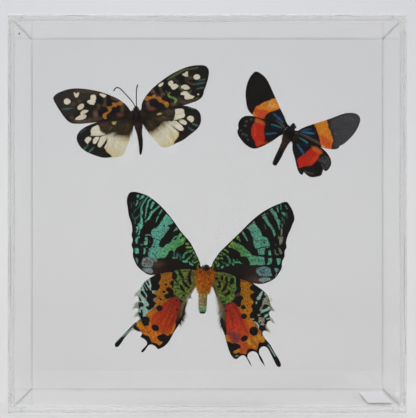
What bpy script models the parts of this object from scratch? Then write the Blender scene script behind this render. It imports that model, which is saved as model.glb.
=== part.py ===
"""Clear acrylic display case with three spread day-flying moths, each held on its own clear rod.

Metres, +Z up. The origin is the middle of the base. The case stands on its bottom sheet and its
front faces -Y. The moths' outlines are read from the photograph, in its pixels.
"""

import math

import bmesh
import bpy
from mathutils import Vector

MM = 0.001

# Case
CASE_SIDE = 200 * MM
CASE_DEPTH = 50 * MM
SHEET = 3 * MM
GAP = 0.3 * MM
EDGE_BEVEL = 0.25 * MM
CASE_FRONT_Y = -CASE_DEPTH / 2
CASE_BACK_Y = CASE_DEPTH / 2

# The photograph looks straight at the case, whose front face spans this many of its pixels.
FRONT_FACE_PIXELS = 399
CASE_MIDDLE_PIXEL = (207.25, 214.0)
VIEW_DISTANCE = 420 * MM
SPECIMEN_DEPTH = 25 * MM
PIXEL = CASE_SIDE / FRONT_FACE_PIXELS * (VIEW_DISTANCE + SPECIMEN_DEPTH) / VIEW_DISTANCE

# Specimens
WING_THICKNESS = 0.3 * MM
FOREWING_Y = CASE_FRONT_Y + SPECIMEN_DEPTH
HINDWING_Y = FOREWING_Y + WING_THICKNESS + GAP
BODY_Y = (FOREWING_Y + HINDWING_Y) / 2
ANTENNA_RADIUS = 0.22 * MM
LEG_RADIUS = 0.25 * MM
ROD_RADIUS = 1.5 * MM
GLUE_RADIUS = 2.6 * MM
GLUE_HEIGHT = 0.5 * MM
TUBE_SIDES = 8

# Blank paper label on the bottom sheet
LABEL_SIZE = (12.5 * MM, 26 * MM, 0.2 * MM)
LABEL_MIDDLE = (88.5 * MM, -2 * MM)

# A tip keeps its point, where the rest of an outline is a smooth curve.
TIP = True

SUNSET_FOREWING_LEFT = [
    (204, 268), (200.8, 266.5), (200.2, 263), (197, 255.5), (193.6, 248.5), (190, 242), (184.5, 235.5),
    (179.5, 229.3), (174.5, 222), (169.5, 215.5), (163, 208), (156, 201.5), (149, 196.5), (140.5, 193),
    (133.5, 191.9), (130.2, 192.9), (128.3, 195.8), (127.3, 200.5), (128.2, 208.5), (129.3, 216),
    (131.6, 223), (132.6, 231), (131.8, 235), (133.1, 240), (131.9, 245), (133.4, 249.8), (133.1, 255),
    (135.2, 261.5), (138, 266.5), (143, 271), (149, 274.5), (155, 274.6), (161, 273.4), (170, 271.5),
    (180, 269.4), (192, 269.3), (204, 272),
]
SUNSET_FOREWING_RIGHT = [
    (206, 272), (206, 268), (210.8, 267), (212.7, 262.5), (215.8, 257.5), (220, 251.7), (225.5, 246.2),
    (232.5, 239.5), (240, 232.2), (248, 224), (256, 216.8), (264, 211), (272, 206.7), (280, 203.4),
    (285, 201.9), (287.2, 202.6), (289, 205.3), (291, 208.3), (292.9, 213), (294, 219.2), (292, 224.5),
    (290, 230), (287.6, 235), (285.7, 243.3), (286.3, 247), (284.2, 251.5), (284.3, 256), (281.6, 262),
    (281.6, 267), (278.5, 273), (275.2, 277.5), (270, 281), (263, 283.5), (255.5, 283.5), (247.5, 280.9),
    (241, 279), (231, 274.6), (221, 271.6), (212.5, 270.5),
]
SUNSET_HINDWING_LEFT = [
    (204, 271), (190, 267.5), (175, 268), (162, 271), (153.5, 275.8), (147, 279.8), (142.8, 283.8),
    (140.2, 289), (137.6, 292.6), (133.6, 296.6, TIP), (137.8, 296.2), (138.6, 300.5), (136.8, 304.4),
    (131.9, 309.2, TIP), (137.8, 308.2), (137.9, 312), (133.4, 316.8, TIP), (139, 316.6), (139.2, 319.4),
    (134, 323.2), (128.8, 328.9), (122.5, 335.4), (117, 341), (115.1, 344.6), (117.2, 346.6),
    (120.2, 344.3), (124.6, 337.9), (129.8, 331.8), (134, 329.4), (138.2, 331), (142.2, 332.4),
    (140.4, 336.6, TIP), (144.2, 338.6), (147.4, 342.6), (144, 347.6), (141.6, 351.2), (142.8, 351.8),
    (146.4, 348), (149.6, 344.4), (154, 344.9), (158.2, 348.8, TIP), (162, 347.4), (167.6, 343),
    (171.4, 337), (174.4, 331.4), (179, 324.4), (182, 317), (183.4, 310.4), (186.2, 303.4), (190, 296.6),
    (193, 289.4), (196.6, 284), (204, 280),
]
SUNSET_HINDWING_RIGHT = [
    (205, 281), (211.6, 285.6), (215.4, 294.4), (218.4, 302), (219.8, 310), (220.2, 318), (221.4, 326),
    (224, 333), (226.2, 341), (228.6, 349), (232, 356), (236, 358.8), (239.4, 356.2), (243.4, 354.8),
    (246.4, 357.6), (249.2, 362.8), (251.6, 366, TIP), (250, 361.6), (247.2, 355.4), (251, 351.2),
    (256.4, 352.2), (260, 359.4), (265, 366, TIP), (262, 358.4), (258.8, 351.2), (261.6, 346.4),
    (266, 346.6), (270.4, 353.4), (274.6, 361.6), (277.4, 366), (280.4, 365.4), (280, 361.6),
    (274.8, 352.8), (269.4, 343.4), (264, 336.8), (262.6, 331.2), (266, 330.4), (270.6, 333.2, TIP),
    (267.2, 328.6), (266.4, 324), (269.2, 320.4), (274.8, 324, TIP), (270.6, 317.8), (269.6, 311),
    (274, 310.8, TIP), (270.6, 304.6), (269, 298.4), (264.6, 292), (256, 285.4), (247, 279), (232, 273),
    (216, 270.4), (205, 272),
]
SPOTTED_FOREWING_LEFT = [
    (136, 120), (136, 113), (131.5, 111.8), (128, 107), (121, 100.8), (112, 96.3), (102, 92.6), (92, 90.3),
    (82, 89), (72, 89.2), (62, 92), (55.5, 95.8), (54, 98.8), (56.3, 104.3), (61, 112), (66, 119),
    (71, 123.2), (78, 124.1), (86, 123.7), (94, 122.8), (104, 121.6), (116, 120.6), (128, 120),
]
SPOTTED_FOREWING_RIGHT = [
    (138, 113), (140.8, 111), (142, 104), (144.8, 98), (149, 92.5), (155, 86.5), (162, 81), (170, 75.5),
    (179, 70.8), (189, 67), (199, 65.8), (205.8, 66.8), (208.8, 70.8), (208.4, 77.5), (206.6, 84.5),
    (204.2, 91), (202.5, 96.8), (198, 100.7), (190.5, 103.5), (184, 105.6), (175, 107.4), (163, 110.5),
    (150, 114.5), (138, 119),
]
SPOTTED_HINDWING_LEFT = [
    (137, 118.5), (125, 117.5), (112, 118.5), (100, 121.5), (92, 124.2), (84, 128), (78.6, 133),
    (77, 138.5), (79, 144.8), (82.5, 149), (88, 152.6), (96, 155.8), (104, 157.9), (111, 157.4),
    (119, 156.9), (123.5, 154.8), (126.2, 149), (128.5, 142.5), (130.7, 135.5), (133, 128),
    (135, 122),
]
SPOTTED_HINDWING_RIGHT = [
    (137, 122), (142.8, 123.4), (145.3, 127.5), (149.5, 133.8), (154.5, 140), (159, 145.3), (164, 147.6),
    (170.5, 146), (177, 143), (183, 140.3), (190, 135), (196.3, 130), (200.2, 124.5), (201, 117.5),
    (198.8, 111.3), (192, 107.8), (184, 105.8), (172, 106.2), (158, 109.5), (146, 113), (137, 117.5),
]
BANDED_FOREWING_LEFT = [
    (290, 132), (290, 127), (287.2, 124.3), (284, 116.5), (280, 108.8), (276.5, 101), (273, 93),
    (269.6, 85.3), (265.5, 78.3), (259.8, 73.5), (255.7, 72), (251.8, 75), (248.6, 80), (246.3, 87),
    (245.4, 94), (246, 102), (248, 110), (252.6, 115.3), (260, 118.2), (268, 120.4), (278, 124.5),
    (286, 130),
]
BANDED_FOREWING_RIGHT = [
    (291, 131), (297, 131), (302, 128.3), (310, 125.3), (318, 122.7), (326, 120.2), (334, 117.3),
    (342, 114.3), (350, 113.2), (357, 115), (359.6, 119), (358.5, 125), (355.6, 131), (351, 137),
    (346, 142), (342, 145), (339.5, 146), (338.4, 148.2), (334, 149.5), (327, 148.9), (322, 147.6),
    (314, 143.5), (305, 139.2), (296.5, 136), (291, 136),
]
BANDED_HINDWING_LEFT = [
    (290, 129), (280, 123.5), (270, 119.5), (260, 117.2), (250, 116), (243.5, 116.8), (239.6, 120.5),
    (238, 125), (238.4, 128), (237.3, 131.4), (238.5, 136), (241.3, 140), (244.5, 143.8), (249.5, 147.4),
    (254, 148.8), (261.5, 146.8), (268, 143.6), (274, 140), (282, 134.8), (290, 134),
]
BANDED_HINDWING_RIGHT = [
    (289, 134), (300, 135.5), (308, 139), (318, 145), (323.5, 149.5), (328.3, 155), (331, 161.5),
    (330, 166.8), (325, 171.2), (323.6, 169.2, TIP), (322.4, 171.5), (321.3, 175), (317, 176.7),
    (310, 177), (306, 174.5), (303.4, 172, TIP), (302.3, 174.8), (298.8, 172.5), (296.6, 166.5),
    (295, 159.5), (292.2, 149), (292.2, 142.5), (290, 138),
]

# Spines run from head to tail: x and y in the photograph, and the body's radius, all in its pixels.
SUNSET_SPINE = [
    (206, 264.9, 1.4), (206, 266.6, 3.3), (205.8, 268.6, 3.5), (205.4, 270.2, 3.4), (205.1, 271.8, 6.4),
    (204.9, 274.6, 8.4), (204.8, 278, 8.8), (204.3, 282, 7.9), (203.9, 286.4, 6.4), (203.6, 291, 5),
    (203, 297, 4.4), (202.6, 302.5, 4.6), (202.5, 307.5, 4.4), (202.5, 310.8, 3.5), (202.5, 312.5, 2),
]
SPOTTED_SPINE = [
    (136.3, 106.2, 1), (136.3, 107.8, 2.2), (136.3, 110, 2.6), (136.4, 111.8, 3), (136.7, 114, 4.6),
    (137.1, 117.5, 5.2), (137.6, 121, 4.9), (138.5, 125, 4.1), (139.1, 130, 3.3), (139.8, 135, 2.4),
    (140.6, 140, 2.3), (141, 146, 1.9), (140.9, 151, 1.3), (140.5, 155, 0.5),
]
BANDED_SPINE = [
    (293.6, 123.4, 1), (293.3, 124.8, 2.1), (292.7, 126.6, 2.5), (292.1, 128, 2.8), (291, 130.2, 4.9),
    (289.6, 132.8, 5.6), (288.2, 135.6, 5.2), (286.6, 139, 4.5), (284.6, 143.4, 3.8), (282.2, 148.4, 3.5),
    (279.4, 154.2, 3.5), (276.8, 159.4, 3.2), (274.8, 163.4, 2.6), (274, 165.2, 1.4),
]

# Only the spotted moth keeps its feelers. Their paths start inside the head.
SPOTTED_FEELERS = {
    "left": [(135.8, 108), (134, 103.8), (130, 98.9), (124.8, 93.4), (120.6, 88.8), (117.3, 87.3),
             (115, 88.9), (113.8, 91.2)],
    "right": [(136.6, 107.5), (136.4, 99), (136.5, 91), (136.9, 87.6), (137.8, 85)],
}

# One side's legs, as (along the body, across it, behind it), in thorax radii from the thorax's middle.
LEG_PATHS = {
    "fore": [(-0.3, 0.3, 0.7), (-0.9, 0.7, 1.15), (-1.35, 0.3, 1.1)],
    "middle": [(0.1, 0.35, 0.7), (0.2, 0.95, 1.2), (1.0, 0.65, 1.3), (1.9, 0.5, 1.15)],
    "hind": [(0.5, 0.15, 0.7), (1.0, 0.6, 1.15), (2.1, 0.3, 1.1), (3.1, 0.35, 0.95)],
}


def clear_scene():
    for item in list(bpy.data.objects):
        bpy.data.objects.remove(item, do_unlink=True)


def new_collection(name):
    made = bpy.data.collections.new(name)
    bpy.context.scene.collection.children.link(made)
    return made


def material(name, colour, roughness, metallic=0.0, transmission=0.0):
    made = bpy.data.materials.new(name)
    made.use_nodes = True
    shader = made.node_tree.nodes["Principled BSDF"]
    shader.inputs["Base Color"].default_value = (*colour, 1)
    shader.inputs["Roughness"].default_value = roughness
    shader.inputs["Metallic"].default_value = metallic
    shader.inputs["Transmission Weight"].default_value = transmission
    return made


def pictured(x, y, depth_y):
    """The point at this depth that the photograph shows at pixel x, y."""
    middle_x, middle_y = CASE_MIDDLE_PIXEL
    return Vector(((x - middle_x) * PIXEL, depth_y, CASE_SIDE / 2 - (y - middle_y) * PIXEL))


def add_object(name, data, collection, look=None):
    made = bpy.data.objects.new(name, data)
    collection.objects.link(made)
    if look:
        data.materials.clear()
        data.materials.append(look)
    return made


def as_mesh(source, name, collection, look=None):
    """A closed mesh object with the shape and place of the source curve, which is removed."""
    bpy.context.view_layer.update()
    evaluated = source.evaluated_get(bpy.context.evaluated_depsgraph_get())
    mesh = bpy.data.meshes.new_from_object(evaluated)
    mesh.transform(source.matrix_world)
    shape = bmesh.new()
    shape.from_mesh(mesh)
    bmesh.ops.remove_doubles(shape, verts=shape.verts, dist=0.001 * MM)
    bmesh.ops.recalc_face_normals(shape, faces=shape.faces)
    shape.to_mesh(mesh)
    shape.free()
    bpy.data.objects.remove(source, do_unlink=True)
    mesh.name = name
    return add_object(name, mesh, collection, look)


def sheet(name, low, high, collection, look):
    """A flat acrylic sheet between two corners, with its edges eased."""
    shape = bmesh.new()
    bmesh.ops.create_cube(shape, size=1)
    size = Vector(high) - Vector(low)
    bmesh.ops.scale(shape, vec=size, verts=shape.verts)
    mesh = bpy.data.meshes.new(name)
    shape.to_mesh(mesh)
    shape.free()
    made = add_object(name, mesh, collection, look)
    made.location = (Vector(high) + Vector(low)) / 2
    bevel = made.modifiers.new("eased edges", "BEVEL")
    bevel.width = min(EDGE_BEVEL, min(size) / 4)
    bevel.segments = 1
    return made


def tube(points, radii, collection, sides=TUBE_SIDES):
    """A curve object with round section through the points, each with its own radius."""
    curve = bpy.data.curves.new("tube", "CURVE")
    curve.dimensions = "3D"
    curve.bevel_depth = 1.0
    curve.bevel_resolution = sides // 2 - 2
    curve.use_fill_caps = True
    spline = curve.splines.new("POLY")
    spline.points.add(len(points) - 1)
    for place, point, radius in zip(spline.points, points, radii):
        place.co = (*point, 1)
        place.radius = radius
    return add_object("tube", curve, collection)


def wing(name, outline, depth_y, cutter, collections, look):
    """A flat wing membrane, trimmed clear of the body."""
    parts, cutters = collections
    curve = bpy.data.curves.new(name, "CURVE")
    curve.dimensions = "2D"
    curve.fill_mode = "BOTH"
    curve.extrude = WING_THICKNESS / 2
    curve.resolution_u = 3
    spline = curve.splines.new("BEZIER")
    spline.bezier_points.add(len(outline) - 1)
    spline.use_cyclic_u = True
    for place, (x, y, *tip) in zip(spline.bezier_points, outline):
        point = pictured(x, y, 0)
        place.co = (point.x, point.z, 0)
        place.handle_left_type = place.handle_right_type = "VECTOR" if tip else "AUTO"
    flat = add_object(name, curve, cutters)
    flat.rotation_euler = (math.pi / 2, 0, 0)
    flat.location.y = depth_y
    made = as_mesh(flat, name, parts, look)
    cut = made.modifiers.new("clear of the body", "BOOLEAN")
    cut.operation = "DIFFERENCE"
    cut.solver = "EXACT"
    cut.object = cutter
    return made


def body_points(spine, grow=0.0):
    points = [pictured(x, y, BODY_Y) for x, y, _ in spine]
    radii = [radius * PIXEL + grow for _, _, radius in spine]
    return points, radii


def thorax(spine):
    """The middle of the widest ring, that ring's radius and the direction towards the tail."""
    points, radii = body_points(spine)
    widest = radii.index(max(radii))
    along = (points[widest + 1] - points[widest - 1]).normalized()
    return points[widest], radii[widest], along


def leg_points(spine, path, side):
    middle, radius, along = thorax(spine)
    across = Vector((0, 1, 0)).cross(along) * side
    behind = Vector((0, 1, 0))
    return [middle + (along * u + across * v + behind * w) * radius for u, v, w in path]


def limbs(spine, feelers):
    """Every leg and feeler as (points, radius)."""
    found = []
    for path in LEG_PATHS.values():
        for side in (-1, 1):
            found.append((leg_points(spine, path, side), LEG_RADIUS))
    for path in feelers.values():
        found.append(([pictured(x, y, BODY_Y) for x, y in path], ANTENNA_RADIUS))
    return found


def body(name, spine, feelers, collections, look):
    """Head, thorax and abdomen in one, with the legs and feelers that grow from them."""
    parts, cutters = collections
    points, radii = body_points(spine)
    made = as_mesh(tube(points, radii, cutters, sides=14), name, parts, look)
    made.data.shade_smooth()
    made.data.set_sharp_from_angle(angle=math.radians(50))
    for number, (path, radius) in enumerate(limbs(spine, feelers), 1):
        limb = as_mesh(tube(path, [radius] * len(path), cutters), f"{name}_limb_{number}", cutters)
        limb.hide_render = True
        limb.display_type = "WIRE"
        grown = made.modifiers.new(limb.name, "BOOLEAN")
        grown.operation = "UNION"
        grown.solver = "EXACT"
        grown.object = limb
    points, radii = body_points(spine, grow=GAP)
    cutter = as_mesh(tube(points, radii, cutters, sides=14), f"{name}_clearance", cutters)
    cutter.hide_render = True
    cutter.display_type = "WIRE"
    return made, cutter


def rod(name, spine, collection, look):
    """A clear rod from the back sheet to the thorax, with a ring of glue at its foot."""
    middle, radius, _ = thorax(spine)
    foot_y = CASE_BACK_Y - SHEET - GAP
    top_y = middle.y + radius + GAP
    profile = [
        (0, top_y), (ROD_RADIUS, top_y), (ROD_RADIUS, foot_y - GLUE_HEIGHT), (GLUE_RADIUS, foot_y), (0, foot_y),
    ]
    shape = bmesh.new()
    corners = [shape.verts.new((across, along, 0)) for across, along in profile]
    for first, second in zip(corners, corners[1:]):
        shape.edges.new((first, second))
    mesh = bpy.data.meshes.new(name)
    shape.to_mesh(mesh)
    shape.free()
    made = add_object(name, mesh, collection, look)
    made.location = (middle.x, 0, middle.z)
    turn = made.modifiers.new("turned", "SCREW")
    turn.axis = "Y"
    turn.steps = turn.render_steps = 24
    turn.use_merge_vertices = True
    turn.merge_threshold = 0.01 * MM
    turn.use_normal_flip = True
    return made


def moth(name, spine, feelers, outlines, looks, collections):
    """One spread moth on its rod."""
    wing_look, body_look, clear = looks
    _, cutter = body(f"{name}_body", spine, feelers, collections, body_look)
    for which, outline in outlines.items():
        depth_y = FOREWING_Y if which.startswith("forewing") else HINDWING_Y
        wing(f"{name}_{which}", outline, depth_y, cutter, collections, wing_look)
    rod(f"{name}_rod", spine, collections[0], clear)


def case(collection, clear, paper):
    """Six sheets: front and back over the full face, top and bottom between them, sides between those."""
    half = CASE_SIDE / 2
    wall_front = CASE_FRONT_Y + SHEET + GAP
    wall_back = CASE_BACK_Y - SHEET - GAP
    side_low = SHEET + GAP
    side_high = CASE_SIDE - SHEET - GAP
    sheets = {
        "front_sheet": ((-half, CASE_FRONT_Y, 0), (half, CASE_FRONT_Y + SHEET, CASE_SIDE)),
        "back_sheet": ((-half, CASE_BACK_Y - SHEET, 0), (half, CASE_BACK_Y, CASE_SIDE)),
        "bottom_sheet": ((-half, wall_front, 0), (half, wall_back, SHEET)),
        "top_sheet": ((-half, wall_front, CASE_SIDE - SHEET), (half, wall_back, CASE_SIDE)),
        "left_sheet": ((-half, wall_front, side_low), (-half + SHEET, wall_back, side_high)),
        "right_sheet": ((half - SHEET, wall_front, side_low), (half, wall_back, side_high)),
    }
    for name, (low, high) in sheets.items():
        sheet(name, low, high, collection, clear)
    label_x, label_y = LABEL_MIDDLE
    width, depth, thickness = LABEL_SIZE
    label_z = SHEET + GAP
    sheet(
        "label",
        (label_x - width / 2, label_y - depth / 2, label_z),
        (label_x + width / 2, label_y + depth / 2, label_z + thickness),
        collection,
        paper,
    )


def main():
    clear_scene()
    collections = (new_collection("framed_moths"), new_collection("cutters"))
    clear = material("clear acrylic", (0.98, 0.99, 0.99), 0.03, transmission=1.0)
    paper = material("label paper", (0.9, 0.9, 0.9), 0.6)
    sunset_wing = material("sunset moth scales", (0.1, 0.42, 0.33), 0.45)
    sunset_fur = material("sunset moth fur", (0.45, 0.17, 0.03), 0.8)
    spotted_wing = material("spotted moth scales", (0.03, 0.025, 0.02), 0.5)
    banded_wing = material("banded moth scales", (0.02, 0.02, 0.022), 0.5)
    dark_fur = material("dark moth fur", (0.02, 0.018, 0.015), 0.8)

    case(collections[0], clear, paper)
    moth(
        "sunset_moth",
        SUNSET_SPINE,
        {},
        {
            "forewing_left": SUNSET_FOREWING_LEFT,
            "forewing_right": SUNSET_FOREWING_RIGHT,
            "hindwing_left": SUNSET_HINDWING_LEFT,
            "hindwing_right": SUNSET_HINDWING_RIGHT,
        },
        (sunset_wing, sunset_fur, clear),
        collections,
    )
    moth(
        "spotted_moth",
        SPOTTED_SPINE,
        SPOTTED_FEELERS,
        {
            "forewing_left": SPOTTED_FOREWING_LEFT,
            "forewing_right": SPOTTED_FOREWING_RIGHT,
            "hindwing_left": SPOTTED_HINDWING_LEFT,
            "hindwing_right": SPOTTED_HINDWING_RIGHT,
        },
        (spotted_wing, dark_fur, clear),
        collections,
    )
    moth(
        "banded_moth",
        BANDED_SPINE,
        {},
        {
            "forewing_left": BANDED_FOREWING_LEFT,
            "forewing_right": BANDED_FOREWING_RIGHT,
            "hindwing_left": BANDED_HINDWING_LEFT,
            "hindwing_right": BANDED_HINDWING_RIGHT,
        },
        (banded_wing, dark_fur, clear),
        collections,
    )


main()
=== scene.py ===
# %% [markdown]
# # Three day-flying moths in a clear acrylic case
# The real object is a box of polished clear sheet with three spread moths floating inside, each on a
# clear rod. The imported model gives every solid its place. This script gives each piece its looks: wings
# with their scales and veins, furry bodies, clear sheet and a paper label.

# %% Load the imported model
import math
import re

import bpy
import numpy as np
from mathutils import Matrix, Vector, noise


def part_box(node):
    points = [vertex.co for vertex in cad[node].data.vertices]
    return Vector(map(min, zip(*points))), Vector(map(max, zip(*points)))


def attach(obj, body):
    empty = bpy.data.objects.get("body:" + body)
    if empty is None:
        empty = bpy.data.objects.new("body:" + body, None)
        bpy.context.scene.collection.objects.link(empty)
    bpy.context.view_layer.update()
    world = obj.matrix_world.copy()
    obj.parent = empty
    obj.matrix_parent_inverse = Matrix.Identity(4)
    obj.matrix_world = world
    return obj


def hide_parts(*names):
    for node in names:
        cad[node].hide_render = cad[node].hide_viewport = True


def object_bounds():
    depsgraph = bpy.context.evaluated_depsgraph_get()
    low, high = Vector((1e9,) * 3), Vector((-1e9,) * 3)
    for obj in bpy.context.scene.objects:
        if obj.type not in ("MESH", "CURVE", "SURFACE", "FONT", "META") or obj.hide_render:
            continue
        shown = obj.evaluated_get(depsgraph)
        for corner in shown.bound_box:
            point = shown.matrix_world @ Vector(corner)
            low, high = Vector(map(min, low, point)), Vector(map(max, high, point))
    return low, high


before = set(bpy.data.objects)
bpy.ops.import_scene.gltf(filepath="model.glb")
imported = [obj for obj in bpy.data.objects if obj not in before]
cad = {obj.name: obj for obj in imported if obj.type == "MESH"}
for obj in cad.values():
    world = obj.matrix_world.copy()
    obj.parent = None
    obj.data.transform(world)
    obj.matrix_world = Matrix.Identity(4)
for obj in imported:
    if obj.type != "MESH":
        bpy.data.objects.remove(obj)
cad_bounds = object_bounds()
MM = 0.001
MERGE = 0.001 * MM
scene = bpy.context.scene
print("CAD nodes:", len(cad))

# %% [markdown]
# ## One scale for the photograph and the object
# The photograph looks square on at the case. Its front face is 399 pixels wide, and the moths float half
# way into the case, a little further from the camera, so one pixel is a little more there. Wings and
# markings were read off the photograph in its pixels. One function turns those into millimetres, X to
# the right and Z up, on the plane that the moths lie in. Another puts such points at a depth, in metres.

# %% Photograph pixels to millimetres
FACE_PIXELS = 399
MIDDLE_PIXEL = np.array([207.25, 214.0])
PICTURE_WIDTH = 416
PICTURE_HEIGHT = 418
VIEW_DISTANCE = 420 * MM

case_low, case_high = cad_bounds
CASE_SIDE = case_high.x - case_low.x
FRONT_Y = case_low.y
MOTH_Y = (case_low.y + case_high.y) / 2
PIXEL_MM = CASE_SIDE / MM / FACE_PIXELS * (VIEW_DISTANCE + MOTH_Y - FRONT_Y) / VIEW_DISTANCE


def read(text):
    """Points in mm from a text of x,y pairs in the photograph's pixels."""
    pixels = np.array([[float(n) for n in pair.split(",")] for pair in text.split()])
    across, down = (pixels - MIDDLE_PIXEL).T * PIXEL_MM
    return np.column_stack([across, CASE_SIDE / MM / 2 - down])


def at_depth(points, y):
    """Points in metres, at depth y, from X and Z in mm."""
    return [Vector((x * MM, y, z * MM)) for x, z in points]


print(f"one pixel at the moths is {PIXEL_MM:.3f} mm")

# %% [markdown]
# ## Camera
# A pinhole camera at the height of the case's middle. Its focal length in pixels follows from the
# distance and the width of the front face, and a small shift puts the case where the photograph has it.

# %% Camera
focal_pixels = VIEW_DISTANCE / CASE_SIDE * FACE_PIXELS
camera_place = (0, FRONT_Y - VIEW_DISTANCE, CASE_SIDE / 2)
bpy.ops.object.camera_add(location=camera_place, rotation=(math.pi / 2, 0, 0))
camera = bpy.context.object
camera.data.sensor_width = 36
camera.data.lens = focal_pixels / PICTURE_HEIGHT * camera.data.sensor_width
camera.data.shift_x = (PICTURE_WIDTH / 2 - MIDDLE_PIXEL[0]) / PICTURE_HEIGHT
camera.data.shift_y = (MIDDLE_PIXEL[1] - PICTURE_HEIGHT / 2) / PICTURE_HEIGHT
camera.data.clip_start = 0.01
scene.camera = camera
scene.view_settings.view_transform = "Standard"
print(f"lens {camera.data.lens:.1f} mm")


# %% [markdown]
# ## Nodes, colours and selection
# Colours are written as sRGB hex, as a paint chart gives them, and turned to the linear values that a
# shader needs. One function adds a shader node with its settings and links. Another leaves only the
# wanted objects selected, because an operator acts on all that is selected. Every finished piece rides on
# the body root, because nothing in the case moves.


# %% Colours and nodes
def linear(text):
    """Linear red, green, blue and 1 from an sRGB hex colour."""
    channels = [int(text[place : place + 2], 16) / 255 for place in (1, 3, 5)]
    return tuple(c / 12.92 if c <= 0.04045 else ((c + 0.055) / 1.055) ** 2.4 for c in channels) + (1,)


def node(tree, kind, inputs=(), **settings):
    """A shader node with its settings. Each input gets a value, or the socket or node that feeds it."""
    made = tree.nodes.new("ShaderNode" + kind)
    for name, value in settings.items():
        setattr(made, name, value)
    for name, value in dict(inputs).items():
        if isinstance(value, bpy.types.Node):
            value = next(socket for socket in value.outputs if socket.enabled)
        if isinstance(value, bpy.types.NodeSocket):
            tree.links.new(value, made.inputs[name])
        else:
            made.inputs[name].default_value = value
    return made


def set_stops(ramp, stops):
    """Gives a colour ramp its stops, from a table of places from 0 to 1 and colours."""
    marks = ramp.color_ramp.elements
    while len(marks) < len(stops):
        marks.new(0.5)
    for mark, (place, colour) in zip(marks, sorted(stops.items())):
        mark.position = place
        mark.color = linear(colour)


def new_material(name, **sockets):
    """A Principled material, with its shader and its node tree."""
    made = bpy.data.materials.new(name)
    made.use_nodes = True
    shader = made.node_tree.nodes["Principled BSDF"]
    for socket, value in sockets.items():
        shader.inputs[socket.replace("_", " ")].default_value = value
    return made, shader, made.node_tree


# %% Selecting, applying and copying
def only(*things):
    """Selects these objects alone and makes the first one active."""
    bpy.ops.object.select_all(action="DESELECT")
    for thing in things:
        thing.select_set(True)
    bpy.context.view_layer.objects.active = things[0]


def apply_modifiers(piece):
    only(piece)
    for modifier in list(piece.modifiers):
        bpy.ops.object.modifier_apply(modifier=modifier.name)


def settle(piece):
    """Moves a piece's place, turn and size into its mesh."""
    only(piece)
    bpy.ops.object.transform_apply(location=True, rotation=True, scale=True)


def new_piece(name, mesh):
    made = bpy.data.objects.new(name, mesh)
    scene.collection.objects.link(made)
    return made


def merged_copy(node_name, name):
    """A copy of a CAD node, whose mesh is loose triangles until its doubles are merged."""
    made = new_piece(name, cad[node_name].data.copy())
    only(made)
    bpy.ops.object.mode_set(mode="EDIT")
    bpy.ops.mesh.select_mode(type="VERT")
    bpy.ops.mesh.select_all(action="SELECT")
    bpy.ops.mesh.remove_doubles(threshold=MERGE)
    bpy.ops.object.mode_set(mode="OBJECT")
    return made


# %% Dressing a piece
def dress(piece, look, slot, *replaced):
    """Gives a finished piece its material, and its place in the frame."""
    piece.data.materials.clear()
    piece.data.materials.append(look)
    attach(piece, "root")
    if replaced:
        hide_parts(*replaced)
    triangles = sum(len(face.vertices) - 2 for face in piece.data.polygons)
    print(f"{piece.name}: {triangles} triangles")


# %% [markdown]
# ## Floor, backdrop and light
# A pale sheet lies under the case and sweeps up behind it, as on a photographer's table. One plane
# becomes both: its far edge is extruded upwards, and a wide bevel rounds the corner so that no line
# shows through the clear case.

# %% Floor and backdrop
FLOOR_WIDTH = 5.0
FLOOR_FRONT = -0.045
FLOOR_BACK = 1.1
FLOOR_GAP = 0.2 * MM
WALL_TOP = 1.6
CORNER_RADIUS = 0.7
CORNER_SEGMENTS = 24

bpy.ops.object.select_all(action="DESELECT")
bpy.ops.mesh.primitive_plane_add(size=1, location=(0, (FLOOR_FRONT + FLOOR_BACK) / 2, -FLOOR_GAP))
floor = bpy.context.object
floor.name = "floor"
floor.scale = (FLOOR_WIDTH, FLOOR_BACK - FLOOR_FRONT, 1)
settle(floor)
bpy.ops.object.mode_set(mode="EDIT")
bpy.ops.mesh.select_mode(type="VERT")
bpy.ops.mesh.select_all(action="DESELECT")
bpy.ops.object.mode_set(mode="OBJECT")
for corner in floor.data.vertices:
    corner.select = corner.co.y > FLOOR_BACK - 0.01
bpy.ops.object.mode_set(mode="EDIT")
bpy.ops.mesh.select_mode(type="EDGE")
bpy.ops.mesh.extrude_region_move(TRANSFORM_OT_translate={"value": (0, 0, WALL_TOP)})
bpy.ops.object.mode_set(mode="OBJECT")
sweep = floor.modifiers.new("sweep", "BEVEL")
sweep.width = CORNER_RADIUS
sweep.segments = CORNER_SEGMENTS
sweep.limit_method = "ANGLE"
apply_modifiers(floor)
only(floor)
bpy.ops.object.shade_smooth()

paper, shader, tree = new_material("seamless background paper", Roughness=0.9)
place = node(tree, "TexCoord").outputs["Object"]
height = node(tree, "SeparateXYZ", {0: place}).outputs["Z"]
tint = node(tree, "Mix", {0: height}, data_type="RGBA")
tint.inputs[6].default_value = linear("#dcdcda")
tint.inputs[7].default_value = linear("#d8dae1")
tree.links.new(tint.outputs[2], shader.inputs["Base Color"])
floor.data.materials.append(paper)
print(f"floor {FLOOR_WIDTH} m wide, backdrop {WALL_TOP} m high")

# %% [markdown]
# The room is a pale light tent with a dark grey opening for the camera. A clear case vanishes in such a
# tent, because whatever its edges bend or mirror is as pale as the background. The opening is what the
# front sheet mirrors towards the camera, so it stays dark, and the floor ends just in front of the
# case: otherwise the mirrored light would veil the black wings. Two soft lamps in front, low and to
# both sides, shape the bodies, and a third one keeps the backdrop pale. The lamps are hidden from rays
# that have passed through the clear case: otherwise their discs would show through it from behind. They
# still light everything inside. A direction's Y is -1 straight out through the opening, and between the
# two values below the cloth of the tent takes over.

# %% Lamps and room
OPENING_DARK = -0.97
OPENING_END = -0.8


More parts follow.
